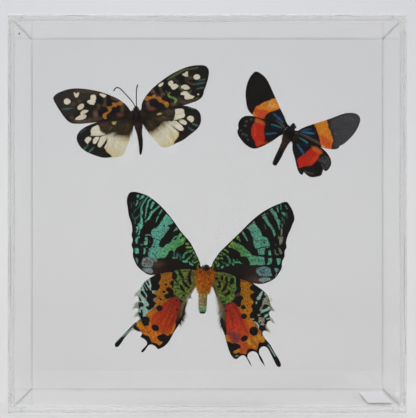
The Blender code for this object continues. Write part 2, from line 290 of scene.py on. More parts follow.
def lamp(name, place, target, size, power):
    bpy.ops.object.light_add(type="AREA", location=place)
    made = bpy.context.object
    made.name = name
    made.data.shape = "DISK"
    made.data.size = size
    made.data.energy = power
    made.visible_transmission = False
    made.rotation_euler = (Vector(target) - Vector(place)).to_track_quat("-Z", "Y").to_euler()
    print(f"lamp {name}: {power} W, {size} m across")


middle = (0, 0, CASE_SIDE / 2)
lamp("key", (-1.03, -0.87, 0.5), middle, 1.1, 9.4)
lamp("fill", (1.0, -0.75, 0.4), middle, 1.0, 3.5)
lamp("background", (0, 0.25, 1.5), (0, 0.9, 0.25), 0.9, 5.7)
world = bpy.data.worlds.new("light tent")
scene.world = world
world.use_nodes = True
tree = world.node_tree
direction = node(tree, "TexCoord").outputs["Generated"]
depth = node(tree, "SeparateXYZ", {0: direction}).outputs["Y"]
cloth = {"Value": depth, "From Min": OPENING_DARK, "From Max": OPENING_END}
cloth = node(tree, "MapRange", cloth)
tent = {0: cloth, 6: linear("#343435"), 7: linear("#d4d4d6")}
tent = node(tree, "Mix", tent, data_type="RGBA")
tree.links.new(tent.outputs[2], tree.nodes["Background"].inputs["Color"])

# %% [markdown]
# ## Clear acrylic
# Cast acrylic sheet has an index of refraction of 1.49, a little above water's 1.33, and is almost
# colourless. It is polished, so its roughness is near zero. Sheet for display cases is made to reflect
# less than bare plastic, and the photo shows hardly a reflection, so the specular level is lowered. Its
# shadow is switched off so that light reaches the moths through it, as it does through real clear sheet.
# Light that enters the edge of a sheet is mirrored between its faces many times before it leaves, so the
# limits on how often light may bounce are raised: light that is given up on would look like a dark edge.

# %% Acrylic sheets and rods
ACRYLIC_IOR = 1.49
BOUNCES = 48
acrylic, shader, tree = new_material(
    "polished cast acrylic",
    Base_Color=linear("#fdfdfd"),
    Roughness=0.0,
    IOR=ACRYLIC_IOR,
    Specular_IOR_Level=0.2,
    Transmission_Weight=1.0,
)
for name in ("front_sheet", "back_sheet"):
    cad[name].data.materials.clear()
    cad[name].data.materials.append(acrylic)
    cad[name].visible_shadow = False
scene.cycles.max_bounces = scene.cycles.glossy_bounces = BOUNCES
scene.cycles.transmission_bounces = BOUNCES
print(f"acrylic: index of refraction {ACRYLIC_IOR}, up to {BOUNCES} bounces")

# %% [markdown]
# ## Cemented joints
# The other sheets and the rods are cemented in place. Acrylic cement melts two faces into one, so light
# crosses a joint as if nothing were there. In the CAD a fine gap keeps the solids apart, and it would
# mirror light and draw a dark line along each joint. So each of these pieces gets a copy that is
# stretched a hair's breadth into its neighbour.

# %% Cemented sheets and rods
LAP = 0.05 * MM
JOINT_LOW = Vector((0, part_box("front_sheet")[1][1] - LAP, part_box("bottom_sheet")[1][2] - LAP))
JOINT_HIGH = Vector((0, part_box("back_sheet")[0][1] + LAP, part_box("top_sheet")[0][2] + LAP))
NEAR = 0.5 * MM


def cemented(name):
    """A copy of a clear piece whose ends reach past the joints that they come near to."""
    made = merged_copy(name, name + "_cemented")
    low, high = (Vector(corner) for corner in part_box(name))
    for axis in (1, 2):
        start = JOINT_LOW[axis] if abs(low[axis] - JOINT_LOW[axis]) < NEAR else low[axis]
        end = JOINT_HIGH[axis] if abs(high[axis] - JOINT_HIGH[axis]) < NEAR else high[axis]
        for vertex in made.data.vertices:
            share = (vertex.co[axis] - low[axis]) / (high[axis] - low[axis])
            vertex.co[axis] = start + share * (end - start)
    made.visible_shadow = False
    dress(made, acrylic, "clear_acrylic", name)


for name in ("left", "right", "top", "bottom"):
    cemented(name + "_sheet")
for name in ("sunset", "spotted", "banded"):
    cemented(name + "_moth_rod")

# %% [markdown]
# ## Wings: a fine sheet from the flat solid
# A moth's wing is a membrane thinner than paper, stiffened by raised veins and covered on both faces
# with rows of tiny scales. The flat solid has the right outline. A copy of its front face is cut into
# squares by bisecting and then subdivided, so that it can carry veins, gentle waves and sharp markings.

# %% A fine sheet in the outline of a wing
COARSE = 1.2 * MM
WING_THICKNESS = 0.2 * MM
HALVINGS = 2


def front_face(name):
    """A copy of the solid's front face as a grid of about 0.3 mm."""
    made = merged_copy(name, name)
    bpy.ops.object.mode_set(mode="EDIT")
    bpy.ops.mesh.select_mode(type="FACE")
    bpy.ops.object.mode_set(mode="OBJECT")
    for face in made.data.polygons:
        face.select = face.normal.y > -0.9
    bpy.ops.object.mode_set(mode="EDIT")
    bpy.ops.mesh.delete(type="FACE")
    bpy.ops.mesh.select_all(action="SELECT")
    bpy.ops.mesh.dissolve_faces()
    low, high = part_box(name)
    for axis in (0, 2):
        normal = [0, 0, 0]
        normal[axis] = 1
        cut = Vector(low)
        while cut[axis] + COARSE < high[axis]:
            cut[axis] += COARSE
            bpy.ops.mesh.select_all(action="SELECT")
            bpy.ops.mesh.bisect(plane_co=cut, plane_no=normal)
    bpy.ops.object.mode_set(mode="OBJECT")
    finer = made.modifiers.new("finer", "SUBSURF")
    finer.subdivision_type = "SIMPLE"
    finer.levels = finer.render_levels = HALVINGS
    apply_modifiers(made)
    return made


# %% [markdown]
# ## Markings as distances
# A printed picture of the wing would blur and could not be repainted. Each marking is a shape instead:
# an area inside an outline, a streak along a path, or an oval spot. For every point of the wing, the
# distance to the edge of the nearest such shape is stored, in mm, positive inside. The shader turns that
# distance into a crisp edge and lets noise fray it, as single scales do.

# %% Areas
TINY = 1e-9


def along_edges(at, start, edge):
    """The share of each edge where it is nearest to each place, and the distance there."""
    away = at[:, None] - start
    share = np.clip((away * edge).sum(2) / np.maximum((edge**2).sum(1), TINY), 0, 1)
    return share, np.sqrt(((away - share[..., None] * edge) ** 2).sum(2))


def area(corners):
    """The inside of an outline through these corners."""
    end = np.roll(corners, -1, axis=0)
    edge = end - corners
    rise = np.where(np.abs(edge[:, 1]) < TINY, TINY, edge[:, 1])

    def depth(at):
        away = along_edges(at, corners, edge)[1].min(1)
        height = at[:, 1, None]
        crosses = (corners[:, 1] > height) != (end[:, 1] > height)
        left_of = at[:, 0, None] < corners[:, 0] + (height - corners[:, 1]) / rise * edge[:, 0]
        return np.where((crosses & left_of).sum(1) % 2 == 1, away, -away)

    return depth


# %% Streaks along curves
def curved(points, between=4):
    """Points along a smooth curve through the given ones."""
    held = np.vstack([2 * points[0] - points[1], points, 2 * points[-1] - points[-2]])
    found = []
    for k in range(1, len(held) - 2):
        a, b, c, d = held[k - 1 : k + 3]
        bend, twist = 2 * a - 5 * b + 4 * c - d, 3 * b - a - 3 * c + d
        for t in np.arange(between) / between:
            found.append(0.5 * (2 * b + (c - a) * t + bend * t**2 + twist * t**3))
    found.append(held[-2])
    return np.array(found)


def depth_in_streak(at, path, widths):
    edge = np.diff(path, axis=0)
    share, away = along_edges(at, path[:-1], edge)
    steps = np.arange(len(edge))
    width = np.interp((steps + share) / len(edge), np.linspace(0, 1, len(widths)), widths)
    return (width / 2 - away).max(1)


def streak(points, *widths):
    """A line along a curve, with one width or several from start to end, in pixels."""
    path = curved(points)
    return lambda at: depth_in_streak(at, path, np.array(widths) * PIXEL_MM)


# %% Oval spots
def spots(middles, half_width, half_height, tilt=0):
    """Ovals around points, with half widths in pixels, tilted by degrees clockwise."""
    half = np.array((half_width, half_height)) * PIXEL_MM
    turn = math.radians(tilt)
    to_oval = np.array([[math.cos(turn), math.sin(turn)], [-math.sin(turn), math.cos(turn)]])

    def depth(at):
        deepest = np.full(len(at), -np.inf)
        for middle in middles:
            flipped = (at - middle) * (1, -1)
            reach = np.sqrt(((flipped @ to_oval.T / half) ** 2).sum(1))
            deepest = np.maximum(deepest, (1 - reach) * half.min())
        return deepest

    return depth


# %% [markdown]
# All of a wing's markings are written as one text, so that they can be read next to the photograph and
# changed one by one. Its veins come first: the root, the two corners of the cell's end, and the points
# that the veins reach on the edge. A line such as `black 0.2` starts a layer: its finish and the softness
# of its edge in mm. The shapes of the layer follow, each with its sizes in pixels and then its points.
# Layers are painted from first to last, so a later one covers an earlier one.

# %% Markings from a text
SHAPES = {"area": area, "streak": streak, "spots": spots}
LAYERS = {}
VEINS = {}


def markings(wing, text):
    """Reads a wing's veins and layers from a text of words, each followed by its numbers and points."""
    layers = []
    for word, rest in re.findall("([a-z]+)([^a-z]+)", text):
        numbers = [float(number) for number in rest.split() if "," not in number]
        points = " ".join(pair for pair in rest.split() if "," in pair)
        if word == "veins":
            VEINS[wing] = read(points)
        elif word in SHAPES:
            layers[-1][2].append(SHAPES[word](read(points), *numbers))
        else:
            layers.append((word, numbers[0], []))
    LAYERS[wing] = layers
    print(f"{wing}: {len(layers)} layers, {sum(len(shapes) for _, _, shapes in layers)} shapes")


# %% [markdown]
# ## Veins
# Veins fan out from the root, past the end of a long cell in the middle of the wing, to the outer edge.
# Each is a smooth line from the root, through a point at the cell's end, to a point on the edge.

# %% Veins
VEIN_WIDTHS = np.array([0.8, 0.5])
VEIN_HEIGHT = 0.1


def vein_lines(points):
    """Smooth lines through the root, the cell's end and each point on the edge."""
    root, front, back, *ends = points
    lines = []
    for k, end in enumerate(ends):
        share = k / (len(ends) - 1)
        lines.append(curved(np.array([root, front * (1 - share) + back * share, end]), between=6))
    return lines


def depth_in_veins(at, lines):
    return np.max([depth_in_streak(at, line, VEIN_WIDTHS) for line in lines], axis=0)


# %% [markdown]
# ## Wing shape
# A dried wing is never quite flat. All of a moth's wings follow one gentle field of waves, so that
# a hindwing stays clear of the forewing in front of it. The tips stand slightly forward. The sheet gets
# its thickness last, and then the veins are raised on both faces.

# %% Waves
WAVE_HEIGHT = 0.35
WAVE_LENGTH = 14.0
TIP_LIFT = 0.9
TIP_REACH = 45.0
STIFF_REACH = 12.0


def forward_mm(at, thorax):
    """How far the wing stands forward of its flat solid."""
    reach = np.sqrt(((at - thorax) ** 2).sum(1))
    waves = np.array([noise.noise(Vector((x / WAVE_LENGTH, 0.7, z / WAVE_LENGTH))) for x, z in at])
    free = np.clip(reach / STIFF_REACH, 0, 1)
    return free * (TIP_LIFT * (reach / TIP_REACH) ** 2 + WAVE_HEIGHT * waves)


# %% Values for every point of a mesh
def store(mesh, name, values):
    kept = mesh.attributes.new(name, "FLOAT", "POINT")
    kept.data.foreach_set("value", np.asarray(values, np.float32))


def coordinates(mesh):
    flat = np.zeros(len(mesh.vertices) * 3)
    mesh.vertices.foreach_get("co", flat)
    return flat.reshape(-1, 3)


def put_coordinates(mesh, where):
    mesh.vertices.foreach_set("co", where.ravel())
    mesh.update()


# %% From the flat sheet to a wing
SWEEP_RADIUS = 25.0
RIDGE_FOOT = 0.6


def reach_and_sweep(at, root):
    """Distance from the root, and how far round it, both in mm; the second as at SWEEP_RADIUS."""
    away = at - root
    ahead = away.mean(axis=0)
    turn = np.arctan2(ahead[0] * away[:, 1] - ahead[1] * away[:, 0], away @ ahead)
    return np.sqrt((away**2).sum(1)), turn * SWEEP_RADIUS


def make_wing(name, thorax):
    made = front_face(name)
    mesh = made.data
    where = coordinates(mesh)
    at = where[:, (0, 2)] / MM
    depth = depth_in_veins(at, vein_lines(VEINS[name]))
    store(mesh, "vein", depth)
    reach, sweep = reach_and_sweep(at, VEINS[name][0])
    store(mesh, "reach", reach)
    store(mesh, "sweep", sweep)
    for layer, _, shapes in LAYERS[name]:
        store(mesh, layer, np.max([shape(at) for shape in shapes], axis=0))
    where[:, 1] -= forward_mm(at, thorax) * MM
    put_coordinates(mesh, where)
    thick = made.modifiers.new("thickness", "SOLIDIFY")
    thick.thickness = WING_THICKNESS
    thick.offset = -1
    apply_modifiers(made)
    where = coordinates(made.data)
    ridge = VEIN_HEIGHT * MM * np.clip(depth / VEIN_WIDTHS[1] * 2 + RIDGE_FOOT, 0, 1)
    front = len(depth)
    where[:front, 1] -= ridge
    where[front:, 1] += ridge
    put_coordinates(made.data, where)
    only(made)
    bpy.ops.object.shade_smooth_by_angle(angle=math.radians(40))
    return made


# %% [markdown]
# ## Wing scales
# Scales are flat plates of chitin, about 0.1 mm long, in rows across the wing. They give a satin face
# with a soft sheen, and frayed edges to every marking. The rows are drawn 0.45 mm apart, which is
# coarser than real ones, so that they show at all. Some scales are built in layers that shine like
# metal: those colours get a share of metallic gloss. Between them, single rows of black scales draw fine
# dark lines across the wing. A finish is a colour, its gloss, and how strongly those lines show.

# %% Colour of one layer
REACH_SPAN = 50.0


def painted(tree, colour, reach):
    """A plain colour, or a ramp over the distance from the wing's root in mm."""
    if isinstance(colour, str):
        return linear(colour)
    share = node(tree, "Math", {0: reach, 1: REACH_SPAN}, operation="DIVIDE")
    ramp = node(tree, "ValToRGB", {"Fac": share})
    set_stops(ramp, {distance / REACH_SPAN: shade for distance, shade in colour.items()})
    return ramp


# %% All layers of a wing
FRAY = 0.35
EDGE_SOFTNESS = 0.12


def painted_layers(tree, ground, layers, finishes, in_mm, reach):
    """The wing's colour, gloss and strength of lines, each layer laid over the ones before it."""
    fray = node(tree, "TexNoise", {"Vector": in_mm, "Scale": 1.6, "Detail": 2.0})
    fray = node(tree, "MapRange", {"Value": fray, "To Min": -FRAY, "To Max": FRAY})

    colour, gloss, lined = linear(ground), 0.0, 0.0
    for layer, fading, _ in layers:
        finish, shine, lines = finishes[layer]
        depth = node(tree, "Attribute", attribute_name=layer).outputs["Fac"]
        depth = node(tree, "Math", {0: depth, 1: fray}, operation="ADD")
        soft = max(fading, EDGE_SOFTNESS)
        share = node(tree, "MapRange", {"Value": depth, "From Min": -soft, "From Max": soft})
        paint = painted(tree, finish, reach)
        colour = node(tree, "Mix", {0: share, 6: colour, 7: paint}, data_type="RGBA")
        gloss = node(tree, "Mix", {0: share, 2: gloss, 3: shine})
        lined = node(tree, "Mix", {0: share, 2: lined, 3: lines})
    return colour, gloss, lined


# %% Material for wing scales
TO_MM = (1000, 1000, 1000)
LINE_RATES = (2.0, 0.5, 1)
LINES_SHOW = {"From Min": 0.54, "From Max": 0.62}
SPECKS_SHOW = {"From Min": 0.55, "From Max": 0.62}
BLACK_SCALES = "#14110e"
ROW_SPACING = 0.45
BRIGHTNESS = 0.85


def scales_material(name, ground, layers, finishes):
    made, shader, tree = new_material(name, Roughness=0.5, Specular_IOR_Level=0.12)
    place = node(tree, "TexCoord").outputs["Object"]
    in_mm = node(tree, "VectorMath", {0: place, 1: TO_MM}, operation="MULTIPLY")
    reach = node(tree, "Attribute", attribute_name="reach").outputs["Fac"]
    sweep = node(tree, "Attribute", attribute_name="sweep").outputs["Fac"]
    colour, gloss, lined = painted_layers(tree, ground, layers, finishes, in_mm, reach)

    on_wing = node(tree, "CombineXYZ", {"X": reach, "Y": sweep})
    on_wing = node(tree, "VectorMath", {0: on_wing, 1: LINE_RATES}, operation="MULTIPLY")
    line = node(tree, "TexNoise", {"Vector": on_wing, "Scale": 1.0, "Detail": 1.0})
    line = node(tree, "MapRange", {"Value": line, **LINES_SHOW})
    speck = node(tree, "TexNoise", {"Vector": in_mm, "Scale": 1.2, "Detail": 1.0})
    speck = node(tree, "MapRange", {"Value": speck, **SPECKS_SHOW})
    dark = node(tree, "Math", {0: line, 1: speck}, operation="MAXIMUM")
    dark = node(tree, "Math", {0: dark, 1: lined}, operation="MULTIPLY")
    drift = node(tree, "TexNoise", {"Vector": in_mm, "Scale": 0.55, "Detail": 2.0})
    drift = node(tree, "Math", {0: drift, 1: 0.5}, operation="SUBTRACT")
    drift = node(tree, "Math", {0: drift, 1: lined}, operation="MULTIPLY")
    hue = node(tree, "Math", {0: drift, 1: 0.2, 2: 0.5}, operation="MULTIPLY_ADD")
    colour = node(tree, "HueSaturation", {"Hue": hue, "Color": colour})
    colour = node(tree, "Mix", {0: dark, 6: colour, 7: linear(BLACK_SCALES)}, data_type="RGBA")

    row = node(tree, "Math", {0: reach, 1: 2 * math.pi / ROW_SPACING}, operation="MULTIPLY")
    row = node(tree, "Math", {0: row}, operation="SINE")
    grain = node(tree, "TexNoise", {"Vector": in_mm, "Scale": 1.7, "Detail": 3.0})
    grain = node(tree, "Math", {0: grain, 1: 0.5}, operation="SUBTRACT")
    strength = node(tree, "Math", {0: lined, 1: 2.6, 2: 0.3}, operation="MULTIPLY_ADD")
    cloud = node(tree, "TexNoise", {"Vector": in_mm, "Scale": 0.22, "Detail": 2.0})
    vein = node(tree, "Attribute", attribute_name="vein").outputs["Fac"]
    vein = node(tree, "MapRange", {"Value": vein, "From Min": -0.05, "From Max": 0.15})
    bright = BRIGHTNESS
    for pattern, weight in ((grain, strength), (cloud, 0.3), (drift, -1.2), (row, 0.05), (vein, -0.14)):
        bright = node(tree, "Math", {0: pattern, 1: weight, 2: bright}, operation="MULTIPLY_ADD")
    colour = {0: 1.0, 6: colour, 7: bright}
    colour = node(tree, "Mix", colour, data_type="RGBA", blend_type="MULTIPLY")
    tree.links.new(colour.outputs[2], shader.inputs["Base Color"])
    if any(shine for _, shine, _ in finishes.values()):
        metal = node(tree, "Math", {0: gloss, 1: 0.6}, operation="MULTIPLY").outputs[0]
        tree.links.new(metal, shader.inputs["Metallic"])
    height = node(tree, "Math", {0: row, 1: 0.3, 2: grain}, operation="MULTIPLY_ADD")
    bump = node(tree, "Bump", {"Height": height, "Strength": 0.3, "Distance": 0.05 * MM})
    tree.links.new(bump.outputs["Normal"], shader.inputs["Normal"])
    return made


# %% [markdown]
# ## The sunset moth's forewings
# The long-tailed moth below is black with bands and streaks of scales that shine green near the root
# and blue-green further out. Towards the hind corner they turn grey over brown. Both wings are written
# out, because the photograph shows small differences between them. The right wing's green is painted a
# little darker than the left's, as painted shade.

# %% Sunset moth finishes
SUNSET_GREEN = {
    0: "#6c8a40", 6: "#4f9456", 12: "#46a068", 16: "#5c9c5a", 19: "#5ea870", 23: "#60a88a",
    28: "#60aa9a", 32: "#66b898", 46: "#5cae96",
}
# The right forewing's green: the left one's green painted a little darker throughout, as painted shade.
SUNSET_GREEN_SHADED = {
    0: "#66823c", 6: "#4b8c50", 12: "#42985f", 16: "#56904f", 19: "#589c64", 23: "#589a78",
    28: "#5c9d8c", 32: "#5fa686", 46: "#559f86",
}
SUNSET_FINISHES = {
    "brown": ({0: "#150d0c", 16: "#170e0b", 24: "#2c1c16", 36: "#281a15"}, 0.0, 0.25),
    "tan": ("#4c3c32", 0.0, 0.2),
    "pewter": ("#868a82", 0.0, 0.6),
    "umber": ("#584840", 0.0, 0.3),
    "dim": ("#2f5c54", 0.3, 0.4),
    "green": (SUNSET_GREEN, 0.4, 0.5),
    "pine": (SUNSET_GREEN_SHADED, 0.4, 0.5),
    "lime": ({0: "#5c7438", 8: "#729c44", 20: "#6c963f"}, 0.4, 0.6),
    "olive": ("#7c8268", 0.2, 0.5),
    "grey": ("#7f8c8c", 0.2, 0.35),
    "slate": ("#5f8a88", 0.2, 0.5),
    "teal": ("#92b5a6", 0.1, 0.3),
    "mist": ("#b0c4ba", 0.0, 0.3),
    "jade": ("#5aae8a", 0.3, 0.2),
    "ash": ("#958f7e", 0.0, 0.3),
    "chalk": ("#a3aca0", 0.0, 0.2),
    "leaf": ({0: "#84803a", 8: "#748034", 14: "#628434", 20: "#5c8a3a"}, 0.3, 0.75),
    "emerald": ("#4b8c4c", 0.4, 0.7),
    "moss": ("#333e1a", 0.0, 0),
    "orange": ({14: "#9c6012", 20: "#a0680f", 28: "#b46a12", 38: "#c46614", 46: "#c87620"}, 0.1, 0.55),
    "yellow": ("#b8841e", 0.1, 0.5),
    "red": ({10: "#5c2420", 16: "#8c2418", 24: "#a52e17", 32: "#be3e1b", 42: "#b44c1a"}, 0.2, 0.35),
    "russet": ({10: "#5c2418", 16: "#862612", 24: "#982c10", 32: "#ae3a12", 42: "#a84a12"}, 0.2, 0.3),
    "purple": ("#70303a", 0.2, 0.4),
    "fur": ({6: "#7a6c46", 18: "#74663e", 25: "#5c5434", 29: "#282016"}, 0.0, 0.5),
    "rust": ("#501a12", 0.0, 0),
    "black": ("#0f0c0b", 0.0, 0),
}
print("sunset moth finishes:", len(SUNSET_FINISHES))

# %% Sunset moth left forewing
markings("sunset_moth_forewing_left", """
veins 200,266 168,226 166,243 133,193 128,201 129,212 131,222 132,232 133,243 133,254 137,265 149,274
brown 1.2
 area 200,262 184,260 172,260 158,259 150,258 141,264 137,266 142,272 152,276 165,274 182,270 198,268
tan 1.2
 spots 4.6 1.8 -8 156.5,264.4
pewter 0.4
 area 143.2,258.2 147,257.4 151,257.2 157.4,258.8 157,261.4 153.6,262 153,265 151.4,267.2 144,267
 141.8,264.2
umber 0.5
 spots 1.6 1.1 146.2,261.8 149.8,264.2
 spots 1.2 0.8 146.6,264.8 154.4,260.9 149.2,260.8
dim 0.1
 streak 0.5 1 0.6 134.4,201.5 134.5,204.8
 streak 1 1.3 0.9 0.9 1.3 0.8 142,201.2 140.5,203 139.8,205.5 138.4,207.6 136.4,209.3 134.9,211 134.5,212.5
 streak 2.2 1.4 0.9 135,218.6 137.8,217.3 139.3,215.3 140.2,213.6
 streak 0.8 135.5,220 135.2,222.3 136,223.8
 streak 1.1 136,231.2 137.4,233.8
 streak 1 132.8,213.5 133.2,217.5
 streak 0.8 143.8,199.6 143.2,201
 streak 0.8 131.8,203 132,208
 streak 1.4 174.4,250.6 174.2,254.5 173.4,257.8
 streak 1.4 179.6,255.6 180.8,257.6 180.2,260
 streak 1.8 2.2 177.3,253.8 176.8,257.4
 spots 1 0.6 179.4,254.4 187.4,249.8 176.6,247.6
green 0
 area 137.2,195.3 139.5,194.8 139.8,196 138.6,198 137.8,198.2 137.2,197
 area 142.3,195.3 144.5,195.3 145,197 143.3,198.2 141.3,199.3 139.5,200 139.8,199 141.2,197.5
 streak 1.2 1.1 0.6 137.8,200.8 137.8,202.6 136.8,204.5 136.4,205.8
 streak 1.2 1.1 1.4 1.4 1.3 1.2 1.6 2.2 2.4 1.7 1.3 1.8 2.2 147.5,197.5 146.3,199 145.2,200.8 143.8,203
 142.7,205 141.8,207 141.5,209 141.9,211 142.2,213 141.6,215 141.3,217 141.9,219 142,221
 area 141,219 143,221 143.1,225.5 142,228 140.9,229.6 138.5,229.3 136.8,228.7 136.3,227.2 138.5,226
 139.6,224.9 138,224.6 138.2,223.6 139.8,222.5
 streak 1 137.6,229 137,231.6
 streak 1.3 140,230.8 138.8,234.6
 streak 1.8 1.6 1.5 1.7 1.7 1.1 1.3 0.7 151,199.3 149,201 148.3,203 147.6,206 146.6,209 146.5,211.5
 146.1,214 145.3,218
 area 154.2,201.6 154.9,203 153.6,205.2 152.6,207.3 151.8,208.8 150.5,208.5 150.6,206.8 151.3,205.2
 152,203.5 153,201.8
 streak 1.5 1.4 1.7 2.4 2.6 2 1.8 1.7 1.4 0.8 159.2,206.3 157.5,207.8 155,210 152.5,211.8 151.2,213.5
 150.3,215.5 149.2,218 147.5,219.8 146,221 145.2,222.5
 streak 1.3 1.2 0.7 161.9,210.2 160.8,212 159.3,214.3
 streak 0.8 1.1 0.9 0.6 158.6,215.9 157.6,218.3 156.9,220.3 156.2,222.7
 area 166.4,214.1 169,216.4 171.6,219.3 173.3,222.2 172,224 168.5,225 167.3,226.5 169.5,227 169.9,228
 168.5,229.7 167,231.5 165.7,233.2 164.8,234.5 163.5,236.5 161.5,238.5 160.5,240.5 159.3,243 158.8,245.5
 160,247 162,247.8 164,247.2 165.3,245.5 167,244 169.5,243.5 171,242 172.2,239.5 174,237 175.5,235.9
 178.2,236.2 179.2,234.5 180.3,233 181.7,233 182.2,235 181.3,236.6 180,237 179.5,238 180.8,239.2
 182.5,237.5 184.3,237.3 185.8,238.8 185,240.5 183.8,242.5 183,244.2 181,245.3 178.5,246.3 176.5,248
 175.2,250.2 174.3,251 173.8,252.5 173.5,250.8 172,250 170,250.2 168.7,251.5 168,253.5 166.8,255.5
 165,257.8 160,258.1 157,257.9 155,258.6 151,257.5 148.3,255 148,253.5 149.2,251.5 149,248.8 150.8,248
 152,246 153,243.5 153.8,241 154,239 152.8,237.5 152,235 151.4,232.5 152.3,230 153.8,228.4 156.5,228
 158.5,226 160.5,223 161.8,220.5 163.5,218.5 165,216
 area 176.4,227 178,229 176.5,230.2 174.5,231 172.8,232 174.5,229.6
 area 136,238 137.3,236.8 139.8,236.3 140.2,237.5 138.5,238.5 137.9,240 137.8,242.5 137,243.8 136,243
 135.8,240.5
 area 145.3,237.5 147.5,237 148,239 148,242 147.5,244.5 145.5,245 144,244 144.2,242 145.5,241 145,239
 area 135.2,248 138,247.8 139,249 139,253 136,253.7 135,252.5
 area 144.3,247.8 145.7,248.5 145.8,250 145.3,252.8 144.6,254 143.4,253.8 144,251.5 144.1,249.5
 streak 0.9 1.3 1.4 1.5 2 193,249.5 191.5,251 189.8,251.8 187,252.3 185,253.5 184,255 183.1,257.4
 streak 0.8 1.2 1.4 1.5 1.2 192,254.5 190.8,256 189.3,257.6 187.5,259.3 186.3,260.4
 streak 1.1 195.8,255 194.8,256.3 193.6,256.9
 streak 1.5 195,262.3 192.5,262.1
 streak 1.8 1 1.2 173.4,257.4 175.4,257.9 177.4,257.6
 streak 0.9 192.6,260.2 192.2,262.6
lime 0
 area 185.3,243 187,242.6 188.9,243.2 188.6,244.5 187,245.3 186,244.5
 streak 1.3 1.7 1.6 1 186.3,247.4 188.5,247.1 190.5,247.5 191.5,247
 spots 1 1.3 193.6,252.8
 streak 0.9 197,258 195.5,258.8 193.9,259.9
 streak 1.8 1.5 1.4 198.7,260.6 196.6,261.4 194.8,262.3
 streak 1.4 199.9,263.5 198,264.6 197.5,266.5 198.5,268
 area 182.3,238.4 184.2,237.4 185.6,238.8 184.8,240.6 183.6,242.6 182.8,242 182.8,240
 streak 0.8 196.4,256.4 195.4,257.2
 streak 0.8 190.8,250.2 188.8,250.6
jade 0
 streak 2.1 2.2 1.6 183.6,261 185.5,261.6 187.3,261.2
 streak 1 1.8 1.6 1 189.4,261.8 190.4,263.7 192,264.5 193.2,265
slate 0.1
 streak 0.9 1.6 1.6 0.8 144.2,258.4 147,257.6 149.4,257.1 152.5,257.9
 spots 0.9 0.9 143,262.4
 streak 1 1.7 1.6 1.3 153.8,259.4 152.6,262 151.4,264 150.2,266.4
 streak 0.8 1.8 1.2 142,265 145,266 148,266.4
 streak 1 141,244.4 143,244.9
 area 136.2,257.4 138.4,258.4 138.3,261 137.8,263.7 136.6,262 135.9,259.5
 streak 1.1 1.4 0.9 146,235.2 149.3,234.7 151.5,235.8
 spots 0.7 0.7 146.9,247.4 155,258.4 151.2,258.6
grey 0.15
 area 142.3,268.4 146,268.2 151.5,268 153,270.5 152.6,273.3 149.5,273 145,271.4
rust 0.2
 spots 0.7 1.2 147.4,251.5
 spots 0.8 1.6 150,241.6
 spots 0.9 0.7 145.8,240.7
black 0
 spots 0.9 0.9 164.1,225.8
 spots 0.5 0.5 140.5,223.4 139.3,227.3 137,228.8 163.4,221.5 180.6,237.9 162.5,234 158.4,231
 spots 0.8 0.6 144.8,261.4 147,259.8 150.8,262.4 147.8,262.8 144.6,264.4 152.6,258.8 154.2,263
 spots 2.4 1 -38 175.6,238.6
 streak 0.5 0.9 0.8 151.6,237.8 156.5,238.9 158.9,239.7 162,241.6
 spots 0.8 0.5 153.4,253 155.6,255.4 163.6,255.6 149.8,250.6
 streak 0.8 151.2,247 153,246.3 155,247.3
 streak 0.7 152.6,252.6 154,254 155,255.5
 streak 0.4 157,231.5 161,230.6 165,231
 streak 0.4 153.5,243.8 156,244.6 159,244
 streak 0.4 161,251.5 165,251 169,248.6
 streak 0.6 176.5,243.6 180,243.2 182,242.4
 streak 0.5 175.6,252 175.5,257
 streak 0.4 139.4,238 139,243 140.6,247 141,254
""")
